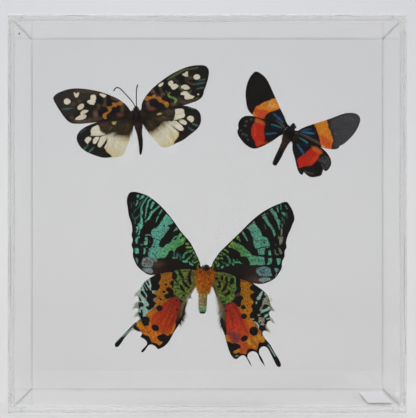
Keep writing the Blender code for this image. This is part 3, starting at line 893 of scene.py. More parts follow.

# %% Sunset moth right forewing
# Its green layer is painted a little darker than the left wing's, as painted shade.
markings("sunset_moth_forewing_right", """
veins 213,266 246,236 250,252 286,203 291,209 293,218 291,227 287,238 285,249 283,259 280,270 270,281
brown 1.2
 area 214,267 228,266.5 240,266 254,266.5 262,270 260,276 268,280 262,284 250,282 243,279 230,273 216,269.6
tan 1.4
 spots 5 1.8 12 257,280
 spots 2.2 1.6 261,271.5
dim 0.1
 streak 0.8 264.5,224.6 265,227.5 265.9,229.8
 streak 1 276,206.4 278,206.6
 streak 1.2 224,262.6 226.5,264.2
 streak 1 1.4 229,262.6 232,262.8 235,262.2
 spots 0.9 0.7 241.8,263.4 237,259.6 218.5,268.3 267,213.6
 streak 0.9 221.3,260.6 222.5,262 223.6,263.7
 streak 1.2 281.6,217.5 282,221
 streak 1 286,213 286.6,218
 streak 0.9 283.4,218.6 284,224
 streak 0.8 275,243.6 275.6,245.2
pine 0
 streak 0.8 284.8,205.4 286.6,208.7
 streak 0.8 280.3,204.8 280.7,209.7
 streak 1.1 277,207.8 277.7,211.6
 area 280.8,210.8 282.3,212.6 284.6,212.4 285.2,214.5 285,216.4 283.4,215.6 281.4,213.6
 area 269,210.3 270.5,209 271.5,208 272.3,209 273.2,210.8 275.2,212 276.3,214 277,216.5 277,218.5
 278.3,219.5 279.8,220.5 279.8,223 279.2,225.5 279.5,227.5 280,229.7 279.3,230 278.5,228 277.9,226
 277.3,224 276.5,222 276,220.5 274.5,219 274,216.8 272.8,215 271.4,213.2 270.3,211.2
 area 262,216.6 265.8,216 266.3,217.8 267.5,219.8 268.6,222 270.2,224 271.8,226.5 273.5,229.3 274.8,232
 275.1,234.5 274.7,236.5 273.6,236.3 273.1,234 272.3,231 270.5,228.3 268.5,225.8 266.5,223.8 265.3,221.8
 264.3,219.8 262.6,218.4
 area 246.3,228 248.5,226.3 251,224.5 253.5,223 255,223.5 256,225.5 257.8,227.5 259.2,229.5 260.5,231.5
 261.3,233.8 262,236 263.8,236.9 266.5,237.3 267.3,239.5 268.5,242 269.6,244 269.9,246.6 267.5,247.4
 264.6,248 264.6,250 264,252 264.5,254 262,254.7 258.3,254.5 258,251.5 257.2,249 255.8,248.7 254.8,247
 253.8,245 253.1,242 253.2,239.5 252.7,237 251.7,235.5 250.7,233.5 250,231 248.5,229
 area 268,250.5 270,250 270.6,252.5 271.3,254.5 270,255.2 268.2,254.8
 area 228,245.7 230,244.8 231,242.5 232.5,241 234.5,242 236.5,243.5 238.5,243 240.5,245 243,246 244.8,248
 247,250 249.5,252 251,254 252,255.3 257,256.2 264.3,257 264.3,260 264.5,262.5 265,264 263,264.7 260,265.2
 257,264.7 252,264.9 249.3,264.3 250.3,262.6 249,260.5 247.6,258 246.6,256.6 243.5,256.2 241,256.3
 240.3,254.3 239.7,252.5 238,250.8 235.5,249.8 233.8,248.5 232,247.8 229.5,247.5 228.5,246.8
 area 268,258.2 271.5,257.5 271.8,260 271.3,263 269.5,264.3 267,264.6 267.5,262.5 268,260.5 267.5,258.5
 area 276,258.3 280.7,258.2 280.3,261 279.8,263.5 278,265 276.9,263.5 276.6,261
 streak 1.4 1.9 1.6 1.4 0.8 242.6,232.4 243.5,233.8 244.7,235.8 246,238.2 247.6,240.9
 streak 1 1.5 1.9 2 1.2 226.4,255.4 228,257 229.2,259 229.9,261 229,262.6
 area 218,262 219.5,263.5 219.7,266 217.5,267 216,266 217.4,264.4
 area 226,264.5 229,264 229.2,265.5 227.5,266.3 225.8,266
 streak 1.1 1.3 1.7 1.4 233.4,259.4 234,261 235.6,262.1 238.4,261.9 240.2,262.9
 streak 1 239.2,239.4 240,241
lime 0
 area 228,245.7 230,244.8 231,242.6 232.4,241.2 234.5,242.2 235.6,244 234.4,246.8 232,247.6 229.5,247.4
 area 236.3,237.2 237.8,236 239,235.5 239,237.5 239.3,239.3 238.6,240 236.5,239
 area 216.7,257 218.5,257 219.3,258.5 218.3,260 216.5,259.2 216.3,258
 streak 0.9 220.2,258.7 221.5,257.8 222.8,259
 area 214.3,261.5 215.3,260.7 217,261.3 217.5,263 216.5,264.3 214.8,263
 streak 1.8 212.8,264 213.2,266 212.2,268.6
 streak 0.9 219.4,254.8 220.6,254.6 221.8,255.6
 streak 0.9 221.3,252.4 223,253.2 224.2,254.6 226,254.2
 streak 1.3 224.2,249.8 226.2,250.4 227.8,252
jade 0
 area 221,267.5 222,265.8 223.8,266 223,267.8 221.5,268.4
 spots 0.9 1 233.2,264.2
olive 0.1
 area 261.2,215.7 262.8,214.5 264.5,213 265.2,214.5 265.5,216 263,216.2
 area 246.3,228.5 247.5,226.8 250,225 252,223.3 253,221.5 254.3,221 254.9,222.5 253.5,223.8 251,225.2
 248.5,227.5
 streak 1.2 241.8,231.2 242.8,232.8
 streak 1 281.6,224 281.9,226.6
 streak 1 1.7 1.3 281.1,228.6 281.3,231.5 281.1,235
 area 279.2,236.8 282.5,236.5 282.8,239 282,241.8 280.6,244.5 279.3,244.8 279.1,242 279,239
 streak 1 278.2,236.2 278.4,238.6
 streak 0.5 1 0.9 274.4,249 275,252.5 276.3,254.3 278.2,254.2
 area 277.8,248 279.3,248 281,250.5 281.8,252.5 281,254.3 279.7,253.5 279,251
slate 0.1
 area 257,268 259.5,267 263,266.3 268,267 270,268.5 270.5,271.5 272,275.5 268,276.3 262,276 258.5,275.3
 257,273 255.8,271 256.3,269
 area 274.2,268 276.5,267.8 278.5,268.5 278.7,270 277,272 275.8,273 274.8,271
grey 0.2
 area 259.5,278.2 264,277.2 269,277.5 271,279 268,280.5 263,282.3 260,281 258.8,280
 streak 0.9 276.4,273.4 275.6,276
 spots 1.4 0.8 273.6,212.8
rust 0.3
 spots 1.1 0.9 260,271 263.4,272.6 261.5,272.2
 streak 1 236,248.8 240,248.6 242,248
black 0
 spots 0.9 1.5 -20 264,242.7
 spots 0.6 0.6 258,268.6 267.8,271.2 263,269.3 261.4,274 269,273.6 255.8,240.8 260.2,243.5 265,268.4
 247.6,252.4 259,259.6 231.8,246.5 252.6,232.6
 spots 1.4 2.6 266.2,260.5
 streak 0.8 1.1 0.9 255.6,248.8 259,248.2 261.5,247.3 264,247.1 267,246.4 270,246
 streak 0.5 0.9 1.2 254,255.2 258,255.4 263,255.6 268,256.2
 streak 0.5 254,239.8 258,240.8 262,239.6 266,240
 streak 0.5 259,249 259.3,253.4
 streak 0.4 253,231 257,232.4 260,231.8
 streak 0.4 250,258.5 254,260 259,259
 streak 0.5 247,256.4 250,256.6 254,256.4
""")

# %% [markdown]
# ## The sunset moth's hindwings
# Each hindwing is leaf green at the root, then orange and red, with black spots that are painted last so
# that they lie over the rest. Its outer side is pale blue-green and ash grey, and one long tail and a
# few short ones end it.

# %% Sunset moth left hindwing
markings("sunset_moth_hindwing_left", """
veins 197,272 172,284 178,298 150,279 139,292 138,302 138,313 117,344 141,333 147,342 157,347 168,342
 177,327
teal 0
 area 152,277 147,279.8 142.8,283.8 140.2,289 136,294 132,298 132,318 139,320 146,316.5 152,312 156,305
 156,290 160,276
 streak 2.4 3 133,328.5 126,334.5 121.5,339.5
mist 1
 streak 2.2 3 3.4 2.4 140.5,286 136.5,294 134,304 137,314
 streak 0.6 1 0.6 147.4,278.6 149.6,281.8 150.2,286
 streak 0.6 1.2 0.8 143.2,296.4 144,300 143,303
leaf 0
 area 174.5,270 180,269 188,268.5 196,270 199,275 197,282 192,288 188,294 186,298 184,300 181.5,300.5
 178.5,298.5 176.5,296 174,294 174,288 174.5,276
emerald 0.5
 streak 2 1.6 1.2 175.6,270.5 178.4,275 181,279.5 183,282.5
 streak 1 2 177.5,296.5 180,298 183,299.5
 streak 1.2 174.8,283 176,287
orange 0
 area 160.2,272.5 161.2,277 160.5,280 159.2,281.5 158.3,283 159.7,285 160.3,287 158,290 155.4,290.8
 153.5,292 155.8,293.6 157,296 156.4,298 154.5,298.6 153,299 153.6,300.6 155.4,300.8 156.2,302.5
 155.4,305.5 153,308 149.5,311 145,315 151,318 162,311 170,300 172,296 174,294 174,280 174.5,272
 area 141,320 151,315.5 163,312 176,324 173,333 165,340 160,345 152,342 149,336 143,333.5 139.5,329
 136.5,325.5 139.5,321
yellow 0.6
 spots 2.4 2.6 139.6,323.6
 streak 2 174.6,325 172.6,331.5
chalk 0.2
 streak 1 1.4 1.6 1.8 139.4,319.8 136.6,322 133.6,324.6 130.4,327.4
 spots 1.8 1.2 132.4,328.8
russet 0.5
 area 177,295.5 180,298 181,301 180.5,305 179.5,310 178,314 176.5,318 175.5,321 174.5,325 172,330 169,333.5
 164,333.5 158,331.5 152.5,328 151,323 151,318 151.5,316 156,312 160,308 163,303 168,299.5 173,297.5
purple 0.5
 streak 1.4 2 1.2 177.8,297 180,301.4 179.6,307.6
rust 0.4
 streak 0.5 1.2 1 176.5,312 173.5,319 169,327
 streak 0.5 171,302 166,313 160,323
 streak 0.5 174.5,303 170.5,314 165,326
fur 0.5
 area 198,279 192.5,286.4 187.6,294 183,301 180.8,308 179.4,315 177,322 174,330 172.5,336 175,334 180,325
 184,318 186,310 189,303 193,296 197,288 202,281
moss 0.1
 streak 0.8 1.2 1 181,271.4 185,271.4 190,271.2
 streak 1 1.4 1 184,279.6 186.4,279.4 189.2,279
 streak 0.8 1.4 0.8 192,272.4 194,274 195.4,276.8
 streak 0.8 1.6 1 174.6,284.4 177,284.6 179.4,284.4
 streak 1 1.4 0.8 176,288.6 178,288.4 179.4,287.8
 streak 0.8 1.2 0.8 185,290.8 187.6,289.6 190.4,287.4
 streak 1 1.4 0.8 179.8,293.4 182,292.8 184.6,292.6
 spots 1.3 0.9 185.8,292.6 187.4,276.6 182,297.6
 spots 0.8 0.8 186.6,283.4 176,291.4 178.6,281.6
black 0
 streak 2 2.8 3.2 2.8 1.8 178.6,269.6 179.8,272.6 181.2,275 182.5,277.2 183,279
 streak 1.5 3 3.6 2.8 3 2 190.2,271.6 189.5,274 189.2,276.2 189.1,278.6 189.8,281.2 190.3,284
 spots 0.9 1.5 191.3,270.6
 streak 1.9 3 3 2 183,280.8 184.5,283.6 186.4,285.6 188.8,287.4
 streak 2.5 3.4 3.2 1.7 180.9,285.8 181.8,288 183,289.6 184.3,291
 streak 1.2 2.2 1.2 174.4,279.2 176.2,281 177.4,282.8
 spots 1.4 1.2 20 183.5,295.4 166,284.5
 spots 1.6 0.8 40 160.6,298.8
 spots 0.9 0.8 135.8,322.2 133.5,324.6 131.6,326.6 130,328.2 128.4,329.8
 streak 1 183.8,295.8 184.8,296.8
 spots 1.4 1.4 163.9,291.8
 spots 1 1 176.5,300.2 177.3,309.3
 spots 1.7 1.1 25 181,300.6
 area 172.3,273 173.5,271.5 175.2,271.5 176.5,273.5 177.5,276 177.6,278 176.3,279.2 174.5,280 172.8,279.5
 171.7,278 172,275.5
 area 170.5,281.5 171.5,280.4 173.5,280.4 174,283 173.6,286 173.2,288.2 172,288 171.5,285.5 170,284
 169.6,282.8
 area 168.3,287 170.5,287 171.5,288.6 173.4,290 173.9,293 173.2,295.5 171.5,297 169.5,298.3 167.5,299
 165.7,298.2 164.2,296.3 164.6,294.8 166.3,293.5 168,294.3 168.2,292.5 167,291 165.9,289.8 166.5,288
 spots 1.3 0.8 -25 160.6,299.2
 spots 3.2 3 159.5,308
 area 141.3,318 143,316.5 145.5,316 148,317 150,317.5 149.8,320 149.3,323 148,325.3 146,326 143.8,325.3
 142.3,323 141.6,320.5
 spots 3.9 3.1 25 155.5,327.5
 area 134,326 136,326.5 138.5,328 140.2,328.8 140,330 138,330.8 136.3,330 134.5,328.5
 area 156.8,336.5 158.5,335 161,334 163.5,333.2 166,334 168,335.5 170,334 171.5,333.5 173.5,333.6 171.5,337
 169.5,340.5 167.5,343.5 165,345.5 163,347.5 161,348.5 160.5,347 161.5,346 162.5,344 163.5,342 162,341
 160,341 158,339
 area 140.4,335.6 143,334.8 145,335.4 148,335.2 149.5,336.5 150,339 150,341.7 152,341.8 155,342.2 157,343
 158.5,345 160,347 161,349 158,350 155.5,345.5 152.5,344.2 150,343.5 144.5,349.5 142,353 141,352 146,345.5
 148.3,343.6 147,340 146,338 144,337.3 142,337
 area 149.8,278 152,277 154,276 155,275 158,274.6 160.5,276.3 161,278 160.4,280 159,281.5 158.6,283
 159.5,284.5 160.2,286.5 159.2,288 157.5,289.5 156,290.6 154,290.6 151.4,290.2 150.9,289.3 151.3,286
 151,283 150.2,280.5
 spots 2.2 1.6 153.4,296 154,303.4
 area 144.6,290.4 147,289.9 150,290 152,290.6 152.6,293.2 155,293.4 156.5,295.5 156,297.5 154.5,298.5
 153,298.9 153.4,300.8 155,300.9 155.8,302.5 155,305.5 153,307.8 150.5,309.5 148.5,310.2 147,308.7
 145.6,307 146.2,305.9 148,306.2 149.2,304.5 148,302.5 146.5,300.5 146.2,298.5 147.2,296.5 146.9,294.5
 145.5,292.6
 streak 1.2 2.1 1.7 146.2,279.8 147.8,282 148.9,284.6
 streak 1.6 1.9 2 2.1 144.6,282.2 145.6,284.5 147,287 149,289.8
 streak 1.4 2 1.9 144,286.4 145.2,289 146.6,292
 streak 2.2 3.6 3.2 1.4 141.8,291.4 142.8,293.2 144.2,295.3 145.7,297.6
 streak 1.4 2 139.1,297.5 140.8,299.9
 area 138.6,302.6 140.6,301.6 143.2,302.8 144.2,304.6 143,307 141.4,306.4 140.6,307.2 140.2,308.4 138.6,308
 139,305.8 138.2,304.2
 streak 1.8 2.6 2.8 138.3,312 140,313.8 141.6,316.6
 streak 1.8 2.6 141.6,310 142,313 141.9,318
 spots 0.9 0.7 -40 138.4,320.6 133.9,324.8 130.6,328.4
 spots 1.1 0.9 -40 135.8,322.8 131.6,326.4
 streak 2.6 4.6 5.4 123.4,337.4 121,340 117.5,344
 streak 1 1.2 1.8 131.6,330.6 128.4,332.8 124,337
 area 181.6,316.5 179.8,322.5 176.5,329 175.6,327 177,322 179,318
dim 0.1
 spots 1 0.8 144.2,285.1
 spots 0.9 0.7 141.4,287.8
 streak 0.8 121,337.6 118,341
""")

# %% Sunset moth right hindwing
markings("sunset_moth_hindwing_right", """
veins 213,273 238,286 232,300 262,290 270,301 270,312 268,321 278,363 264,364 251,365 240,355 229,349
teal 0
 area 262,290.6 263,291.2 262.1,294 260.9,296.5 260.6,298.6 258.3,299.9 256.9,299.6 256.7,297 258.5,295.8
 259.5,293.8 260.8,291.8
 area 255.8,301.4 257.4,301.7 257.1,303.4 255.4,303.9
 area 259.4,309.4 263,309.6 266,308.4 268,306.8 270.4,305.8 270,309 268,310.6 265,311 262,312.6 259.8,313.2
 260.9,311
 area 265.6,313.8 268.8,314 267.4,316.4 265.5,317.2 263.6,317.2 264.5,315.3
 area 265.8,318.3 268.5,317.7 269.6,318.5 268,319.5 265.8,319.2
 streak 1.2 1.9 1.6 0.8 254.6,321.8 257,323.5 258.4,326 258.7,328.4
 spots 1.4 0.8 252.7,318.9
 streak 1.2 264.6,293.6 266.4,296
 streak 2 2.2 267.6,344.4 272,352 276,359
ash 0.2
 area 263.4,298 266,296.6 268.5,296.5 271.5,299 272,312 270.5,311 270.8,306 268.4,305 266,303.9 263.7,304.2
 262.4,307 260.9,309.2 259.6,309 261.2,306.4 262.4,303 262.6,300
 area 258.4,317 261,317.3 264,317.6 264.4,320.5 263.6,323.6 266.2,324.6 266,328 262.6,325.2 260,324.4
 258.3,322 258.7,319.6
 streak 1.5 269.4,318 272,322 275,324.6
 streak 1.5 265.8,326.6 268,330 271,333
 streak 1.3 270,308 272.4,310.4 275,311.6
 spots 1.4 0.8 258.6,314.9
 streak 1.2 268,312.6 269.8,314.8
leaf 0
 area 211,272 220,272 228,273 234,275 235.5,281 236,287 235.5,293 234.5,298 232,301 228,303 225,303.5
 222.5,301.5 219.5,297 216.5,291 213.5,285 210,279
emerald 0.4
 streak 1 1.9 1.4 234.2,276 234.9,279 234.2,284
 spots 1 1.4 235.6,288.6
 spots 2 1.3 229.6,278.4
 streak 1.4 226.4,301.4 223.6,303
orange 0
 area 240,279 246,280.5 250,282.5 252.6,284.8 250,286.2 249.3,288 250.6,290 254.6,292 252.5,293.4
 249.6,294.4 250,297 251.8,299.4 253.8,301.6 252.6,303.6 251,305.5 251.8,308.2 252.6,310.6 250.2,312.6
 249.3,316 250.5,318.6 253,321 255.6,324.5 258,328 262,332 267,340 262,342 256,350 244,354 236,357 231,352
 227,344 224.5,334 224,329 229,330 236,310 240,300
yellow 0.3
 area 257.3,334 258.6,330.8 260,332.5 260.5,335 262.5,336 264.5,338.5 264.6,341 261,341.8 259.3,341.6
 258.3,338.5 256.3,336.6
 area 246,341.2 249,339.6 252,343 253.6,345.2 250.5,345.2 247.5,342.7
 area 251,337 255,336.4 257,340 256,343.7 253.5,341 251.5,338.5
 streak 1.8 225.4,331.5 227,335 229.6,338.6
 area 233.6,350.4 236,349.8 238.3,351 236.5,352.4 234.5,352.9 233.2,352.3
red 0.5
 area 232.5,302 235.5,304.5 239.5,308.5 242,313 244,319 247.5,324 250.5,329 251,334 248,337 246,341 247,347
 243,346 239.5,343 233,342 229,339 227,334 226,327 225.3,320 225,313 225,307 228,303.5
 area 240,343 248,346 249,349 246,353 240,352.4
purple 1.2
 area 229,330.5 233,331.5 237,333 239.5,335.5 240.2,338.5 239,341.4 236,342.8 233,341 231.5,338.5 230.5,335
 229,333
 spots 1.8 1.1 237.3,294.5
 streak 2 1.4 226.4,304.5 226,309
rust 0.4
 streak 0.5 0.9 0.6 234,306 239.5,316 243.6,325 247,333
 streak 0.5 1 0.6 229,308 231.5,318 234,329
 streak 0.6 236.5,309 240,320 241.5,330
 streak 0.5 251,337.4 254,341.6 256.6,346
 streak 0.5 246.4,342.4 249.4,346.2 251,347.6
fur 0.5
 area 211,281 215,288 218.4,295 221.6,302 224,308 225,316 225.4,324 226.5,334 224,334 221.5,327 219.5,316
 217,303 211.6,290 207,283
moss 0.1
 streak 0.9 1.2 0.9 218,275.7 221,275.5 224.2,275.5
 streak 0.9 1.3 0.9 226,275.5 229,275.6 232.4,276.6
 streak 0.9 1.4 1.2 216.2,285.4 217.8,287.6 219.6,290.6
 streak 0.8 1.4 0.8 228.6,284.6 230,286.6 231.6,287.6
 streak 1 1.4 0.8 219.6,292.6 221.4,293.8 223.4,294.4
 streak 0.8 1.3 0.8 220.4,281.4 222,281.2 223.4,283.4
 streak 1 224.6,290.8 226,290.2 227.2,288.8
 spots 1 1 217.2,274.4 224.9,274.4 227.6,285 226,299.4 230,293.4 221.4,297.6 228.6,299
 spots 1.2 0.9 233.6,288.6
black 0
 spots 1.7 2.5 10 222,278
 spots 1.7 2.1 226.4,278.4
 spots 0.8 0.8 225.4,280.4
 spots 1.6 1.6 216.4,278.4 227.2,281.8 219.4,282.8
 spots 2.3 1.6 -30 219.5,286.3
 spots 2.4 3.6 16 231.9,281.2
 streak 2 3.1 3.2 2.3 226.1,283.8 225.4,286.5 224.2,288.8 222.2,291
 streak 2.3 3.2 2.7 1.7 229,290.8 228.6,292.8 226.8,294.2 224.2,294.8
 spots 2 1.1 223.6,301.6
 spots 1.1 0.9 228.6,303.6 226.2,310.9
 area 236.2,277.5 239.8,278.5 240.6,281 240.2,286 240.9,289 240.8,291.3 238.5,292 237,293 235.5,294.6
 234.2,293.6 234,292 236,290.5 237,288 236.8,284 236,281
 area 240,295 242,295.3 243,297 243.5,298.8 242,300 241,302 241,304.5 240,307 238.3,306.5 236.5,304.5
 234.5,302.5 234.3,300.5 235.3,298 237,296.8 238.5,296.2
 spots 2.4 2.3 243.2,307
 spots 3 2.8 243.8,316
 spots 4.3 4.7 253.7,330.8
 spots 3.8 2.7 -25 244.2,338.1
 area 226,340.3 229,341.5 232,343 236,342.8 239.5,343.8 240.6,346 240,348 237,349 235,350 233.3,351
 232.8,352.3 234,353 236,353 238.5,351.8 241,353 244,353.2 245.4,354 246.5,352 247,350 248.5,348.3
 250.5,347.7 253,348.2 256,349.7 257.3,350.2 257.4,348 257.7,345.5 258.3,343 259.5,341.7 262.5,342
 264.4,341.8 268,343.6 266,346.6 262,346.4 260.5,347.6 266.5,366.5 264,366.5 256.5,351.4 254,350.8
 251,351.1 249,353.4 252.5,366 250,366 246,356 243,355 241,355.6 239,357.4 237.5,359 236,360 233.5,359
 231,357 229.5,353 227.6,349.5 226.4,345
 spots 1.3 1.2 265.3,339.6
 spots 1.2 0.8 267,342.2 269.2,344.4
 spots 0.8 0.8 268.4,300.4
 area 263.3,294.8 265,294.9 266.1,296.5 264.8,297.9 263.2,297.4
 area 264.4,304.4 267,304.2 268.2,305.3 266.5,307 264,308.6 262.8,308.2 263.6,306
 area 264.8,312.5 267,311.5 269,310.8 268.1,312.9 265.5,313.5 263,315.2 261,317.2 260.1,316.6 261.4,314.4
 262.4,312.9
 streak 0.9 268.6,315.3 266,317.6 265.2,319.2
 streak 1.1 1.6 1.8 0.9 270.2,318.8 268,320.1 266,320.6 265,322.5 264.2,323.5
 spots 1.1 0.9 260.3,322.4 264.4,325.4 267.2,323.6
 spots 0.6 0.6 262,301.6 266.4,299 261.8,319.4 265,302.4 267.4,302.6 270,301 269.4,304 261.6,305.8
 263.4,299.4 260,318.6 263.2,322 260.4,322.8 264.6,325.8 262.4,317.8 269,298 271,308
 area 259,325.5 261,324.8 263,325 264.5,326.2 265.6,327.5 264.8,328.9 262.5,329.4 260.5,329.7 259.2,330
 258.7,328
 streak 1 1.6 262.2,330.3 261.7,334.4
 streak 1.2 1.2 3 268,346 271,351.5 274.6,358.5
 streak 4.4 6.5 276.4,357.5 278.7,364
 area 221.6,317 223.4,322 225.6,329 226.8,335 224,333 222,326
olive 0.1
 spots 1.5 0.8 236.7,355.4
 streak 0.7 233.4,357.4 237,358.6
""")

# %% [markdown]
# ## The spotted moth's wings
# Black-brown wings with cream spots. The forewings add an orange zigzag and thin blue-green streaks near
# the edge. The hindwings have a wide cream field, and brown hairs run over its upper edge.

# %% Spotted moth finishes
SPOTTED_FINISHES = {
    "dusk": ("#2a2621", 0.0, 0.4),
    "brown": ("#56442f", 0.0, 0.6),
    "mauve": ("#6c5348", 0.0, 0.3),
    "soot": ("#0c0b0a", 0.0, 0),
    "smoke": ("#6e6446", 0.0, 0.5),
    "cream": ({6: "#c8bc94", 14: "#cec6a8", 20: "#d6d0ba", 28: "#d2c9ae", 40: "#d8d4c0"}, 0.0, 0.08),
    "tan": ({8: "#bfa878", 12: "#cac1a2", 15: "#d0cab2", 18: "#ccc19e", 21: "#c8b88e"}, 0.0, 0.06),
    "light": ("#dad5c0", 0.0, 0.1),
    "yellow": ("#b8a25e", 0.0, 0.15),
    "orange": ({10: "#a86826", 16: "#ae6e1c", 22: "#b8842a"}, 0.0, 0.4),
    "red": ("#7c3e32", 0.0, 0.3),
    "olive": ("#545c38", 0.1, 0.4),
    "green": ("#6c8446", 0.1, 0.4),
    "teal": ("#426e66", 0.2, 0.4),
    "black": ("#15110e", 0.0, 0),
    "bark": ("#30261d", 0.0, 0.6),
}
print("spotted moth finishes:", len(SPOTTED_FINISHES))

# %% Spotted moth left forewing
markings("spotted_moth_forewing_left", """
veins 133,115 100,101 101,113 72,89 60,92 54,98 58,108 64,117 71,123 85,124 104,121
dusk 1.5
 area 54,96 62,92 76,90 96,91 90,98 80,104 74,118 66,116 56,102
brown 0.8
 streak 1 2 1.6 74,91.5 86,91.6 98,93.4
 streak 1.6 1.8 1.4 105.4,97.6 105.3,101.5 104.8,105.6
 streak 2 3 1.5 112,97.6 116,99 120,100.6
 streak 2.6 1.6 99.2,105.4 99,109.4
 streak 2 2.4 1.4 90,119.6 96,119.8 101,118.6
 streak 1.6 2.4 123,104.6 122.4,111
 spots 1.7 1.4 79.8,101.6 74,104.6 72.4,118
mauve 0.9
 spots 2.2 3.2 96,114.4
 spots 3 1 78.6,121.8 85.5,121.6
 spots 1 0.8 104.4,105.4
soot 0.5
 area 98,97.6 103.6,99.4 103.8,104 101.5,105.4 98.6,104.2 97,101
 area 106.8,99 110.6,98.6 112,102 110.4,105 107.2,104.6
 area 98.4,110.4 102,109 106,108.4 107.6,110.6 104.4,113 101.4,116 98.6,116
 area 110.8,111.6 116,108.8 119,109.4 118.6,113.6 112,116
red 0.8
 spots 2.4 1.5 120.4,115
orange 0.1
 area 124,102.7 121.2,101 118.3,102.1 116.6,103.8 114.3,102.7 112.3,103.2 113.1,105 111.4,106.7 109.7,106.7
 106.5,107 108,109.3 109.1,111.3 106.5,112.7 103.7,113.9 102.8,115.6 103.1,117.9 104.8,119.3 106.5,119.3
 106.8,117.3 106.5,115.6 108,113.9 110.3,112.1 112,110.4 111.7,108.4 113.7,107.3 116.6,107 117.7,105.5
 120.6,105.8 122.9,104.4
teal 0.4
 streak 0.6 1.2 0.5 63,109.6 68,109.3 73,108.4
cream 0.12
 spots 3.3 3 67.7,101.9
 area 74.2,93 75.5,92.9 76.8,94.6 77.8,93 79.8,92.9 79.2,95.5 78.2,97.6 76.3,98 75.2,96.8 74.5,95
 area 91.5,95.6 94,95 96.3,95.9 96.6,98.5 96,100.5 95.5,102.8 94.5,105 91.5,105 88.6,103.6 87.2,102
 88.8,100.6 91,100 90.8,98
 area 99.5,94.3 102,93.8 105,94.8 107,95.8 105.5,97.5 104.5,98.2 102,96.9 100.5,95.6
 spots 3.8 2.4 -42 81.3,107.2
 area 80.3,114.3 81.5,112.3 83.5,110.6 86,110 89.5,110.9 87.3,112.7 85.5,113.8 83.5,114.6 81.5,115
 area 75.3,119.9 77.2,117.5 80,115.8 83,114.2 86.2,115 87,116.8 85.5,118.8 82.5,119.9 78.5,120.4
""")

# %% Spotted moth right forewing
markings("spotted_moth_forewing_right", """
veins 141,114 165,88 170,100 189,67 202,66 209,72 207,83 204,93 198,101 186,104 166,109
brown 0.8
 streak 1 1.6 1.2 160,88.4 161.4,92 163.6,94.4
 streak 1.4 1.6 1.2 148,102 148.4,105.6 150.4,108.4
 spots 1.8 1.4 152.8,91.6 169.6,112.4
 streak 1 2.4 1 178,102 188,102.6 198,98.8
 spots 2.4 1.2 190.6,78.4 174,104.6
 streak 1 1.5 1 143,118.4 148,121 152,124
 streak 0.6 1 0.8 186,80.4 189.4,83.4 193.6,84.8
 streak 0.6 1.1 0.8 178.6,97.8 182,101 187,102.4
 streak 0.5 0.9 0.5 173,77.4 175.4,80.6 178.6,82.2
 streak 0.8 1.2 0.6 162.4,96.2 159.8,92.6 161,88.6
mauve 0.8
 spots 1.2 1 163.4,94.6 173.6,104.2 149,106.4 156.4,97.2 147.6,103.4
 streak 0.6 1.1 0.7 152.6,91.6 156.8,94 160.8,97
soot 0.5
 area 149.6,101 154,100 157.6,102 160.6,104.6 164,106.6 165,108.6 160,110 154,107.4 150.4,106.6
 area 155,89.8 159.6,89.4 161,93.8 160,96.4 155.6,93.8
 area 161.6,87.4 165,84.4 168.6,86.6 170,91 168.4,93.6 164.4,92.6
 area 163,96.4 166.4,95 168.4,97.6 172.4,99.8 172,102.6 168.6,101.4 163.6,99.4
 area 171.4,92 176,90.8 178.4,93 177.4,96.6 172.4,96.4
 area 176,78.6 180,75.6 183.4,79 183,83 178.6,82.4
olive 0.4
 streak 1.2 2 1.8 1.2 1 168,80 174,76 180,72.6 186,70.2 198,68.4
 streak 1 1.6 1 180.4,85.6 180,88.6 183,90.8
 streak 0.8 1.3 0.8 166,91.4 168.6,94 170.6,92.8
 streak 0.8 1.4 0.9 190.6,90.6 190,93.4 187,91.2
green 0.25
 streak 1.2 1.9 1.8 2.2 2.8 2 169.4,93.2 168.6,95.6 170.4,97.4 174.4,98.6 176,100.8 175.4,102.8
red 0.7
 spots 3 1.5 151.5,109
orange 0.1
 area 144.1,99.6 146.1,96.2 148.9,96.7 151.8,96.7 153.5,95 155.3,94.4 155.8,96.7 158.7,97 161.6,97.9
 162.1,100.2 165.6,101.6 167.9,102.2 169.3,104.2 168.5,107.1 167.6,108.2 165.6,107.1 164.4,104.8
 162.1,103.1 159.3,102.2 157.6,100.2 155.8,98.5 153,98.5 150.1,99.6 147.8,101 145.5,100.5
teal 0.4
 streak 0.5 1.3 0.7 194,85 199,84.2 204.5,83
 streak 0.4 0.8 197,89.4 203,88.2
 streak 0.4 0.8 199,80.8 205,80
cream 0.12
 spots 3.2 2.7 196.9,77.6
 area 182.2,74.8 185,73.6 186.3,72 188.2,72.2 188,74.5 188,77 185.5,77.2 184,76.3
 spots 1 0.8 198.2,94.8
 area 168,83.5 169.5,81.5 172,80.8 173.5,82.5 173,84.5 176,84.2 178.3,85.5 178,87.5 176,89 173.8,90.2
 171.5,88.8 170.5,86.5 168.5,85.3
 area 158.2,86.3 160,84 163,82.8 164,83.5 162.5,85.5 160.5,87.4
 area 181,86.8 183.5,85.4 186,85.2 188.3,86.5 190.2,88.5 188,90 185,90.2 183,89 181.2,88.5
 area 180.3,95 181.5,93 184,91.6 187,92 189,93.8 190.6,95.4 194.6,96.8 193,98.8 189,99.7 185.5,99.8 184.2,98
 184.6,95.6
""")

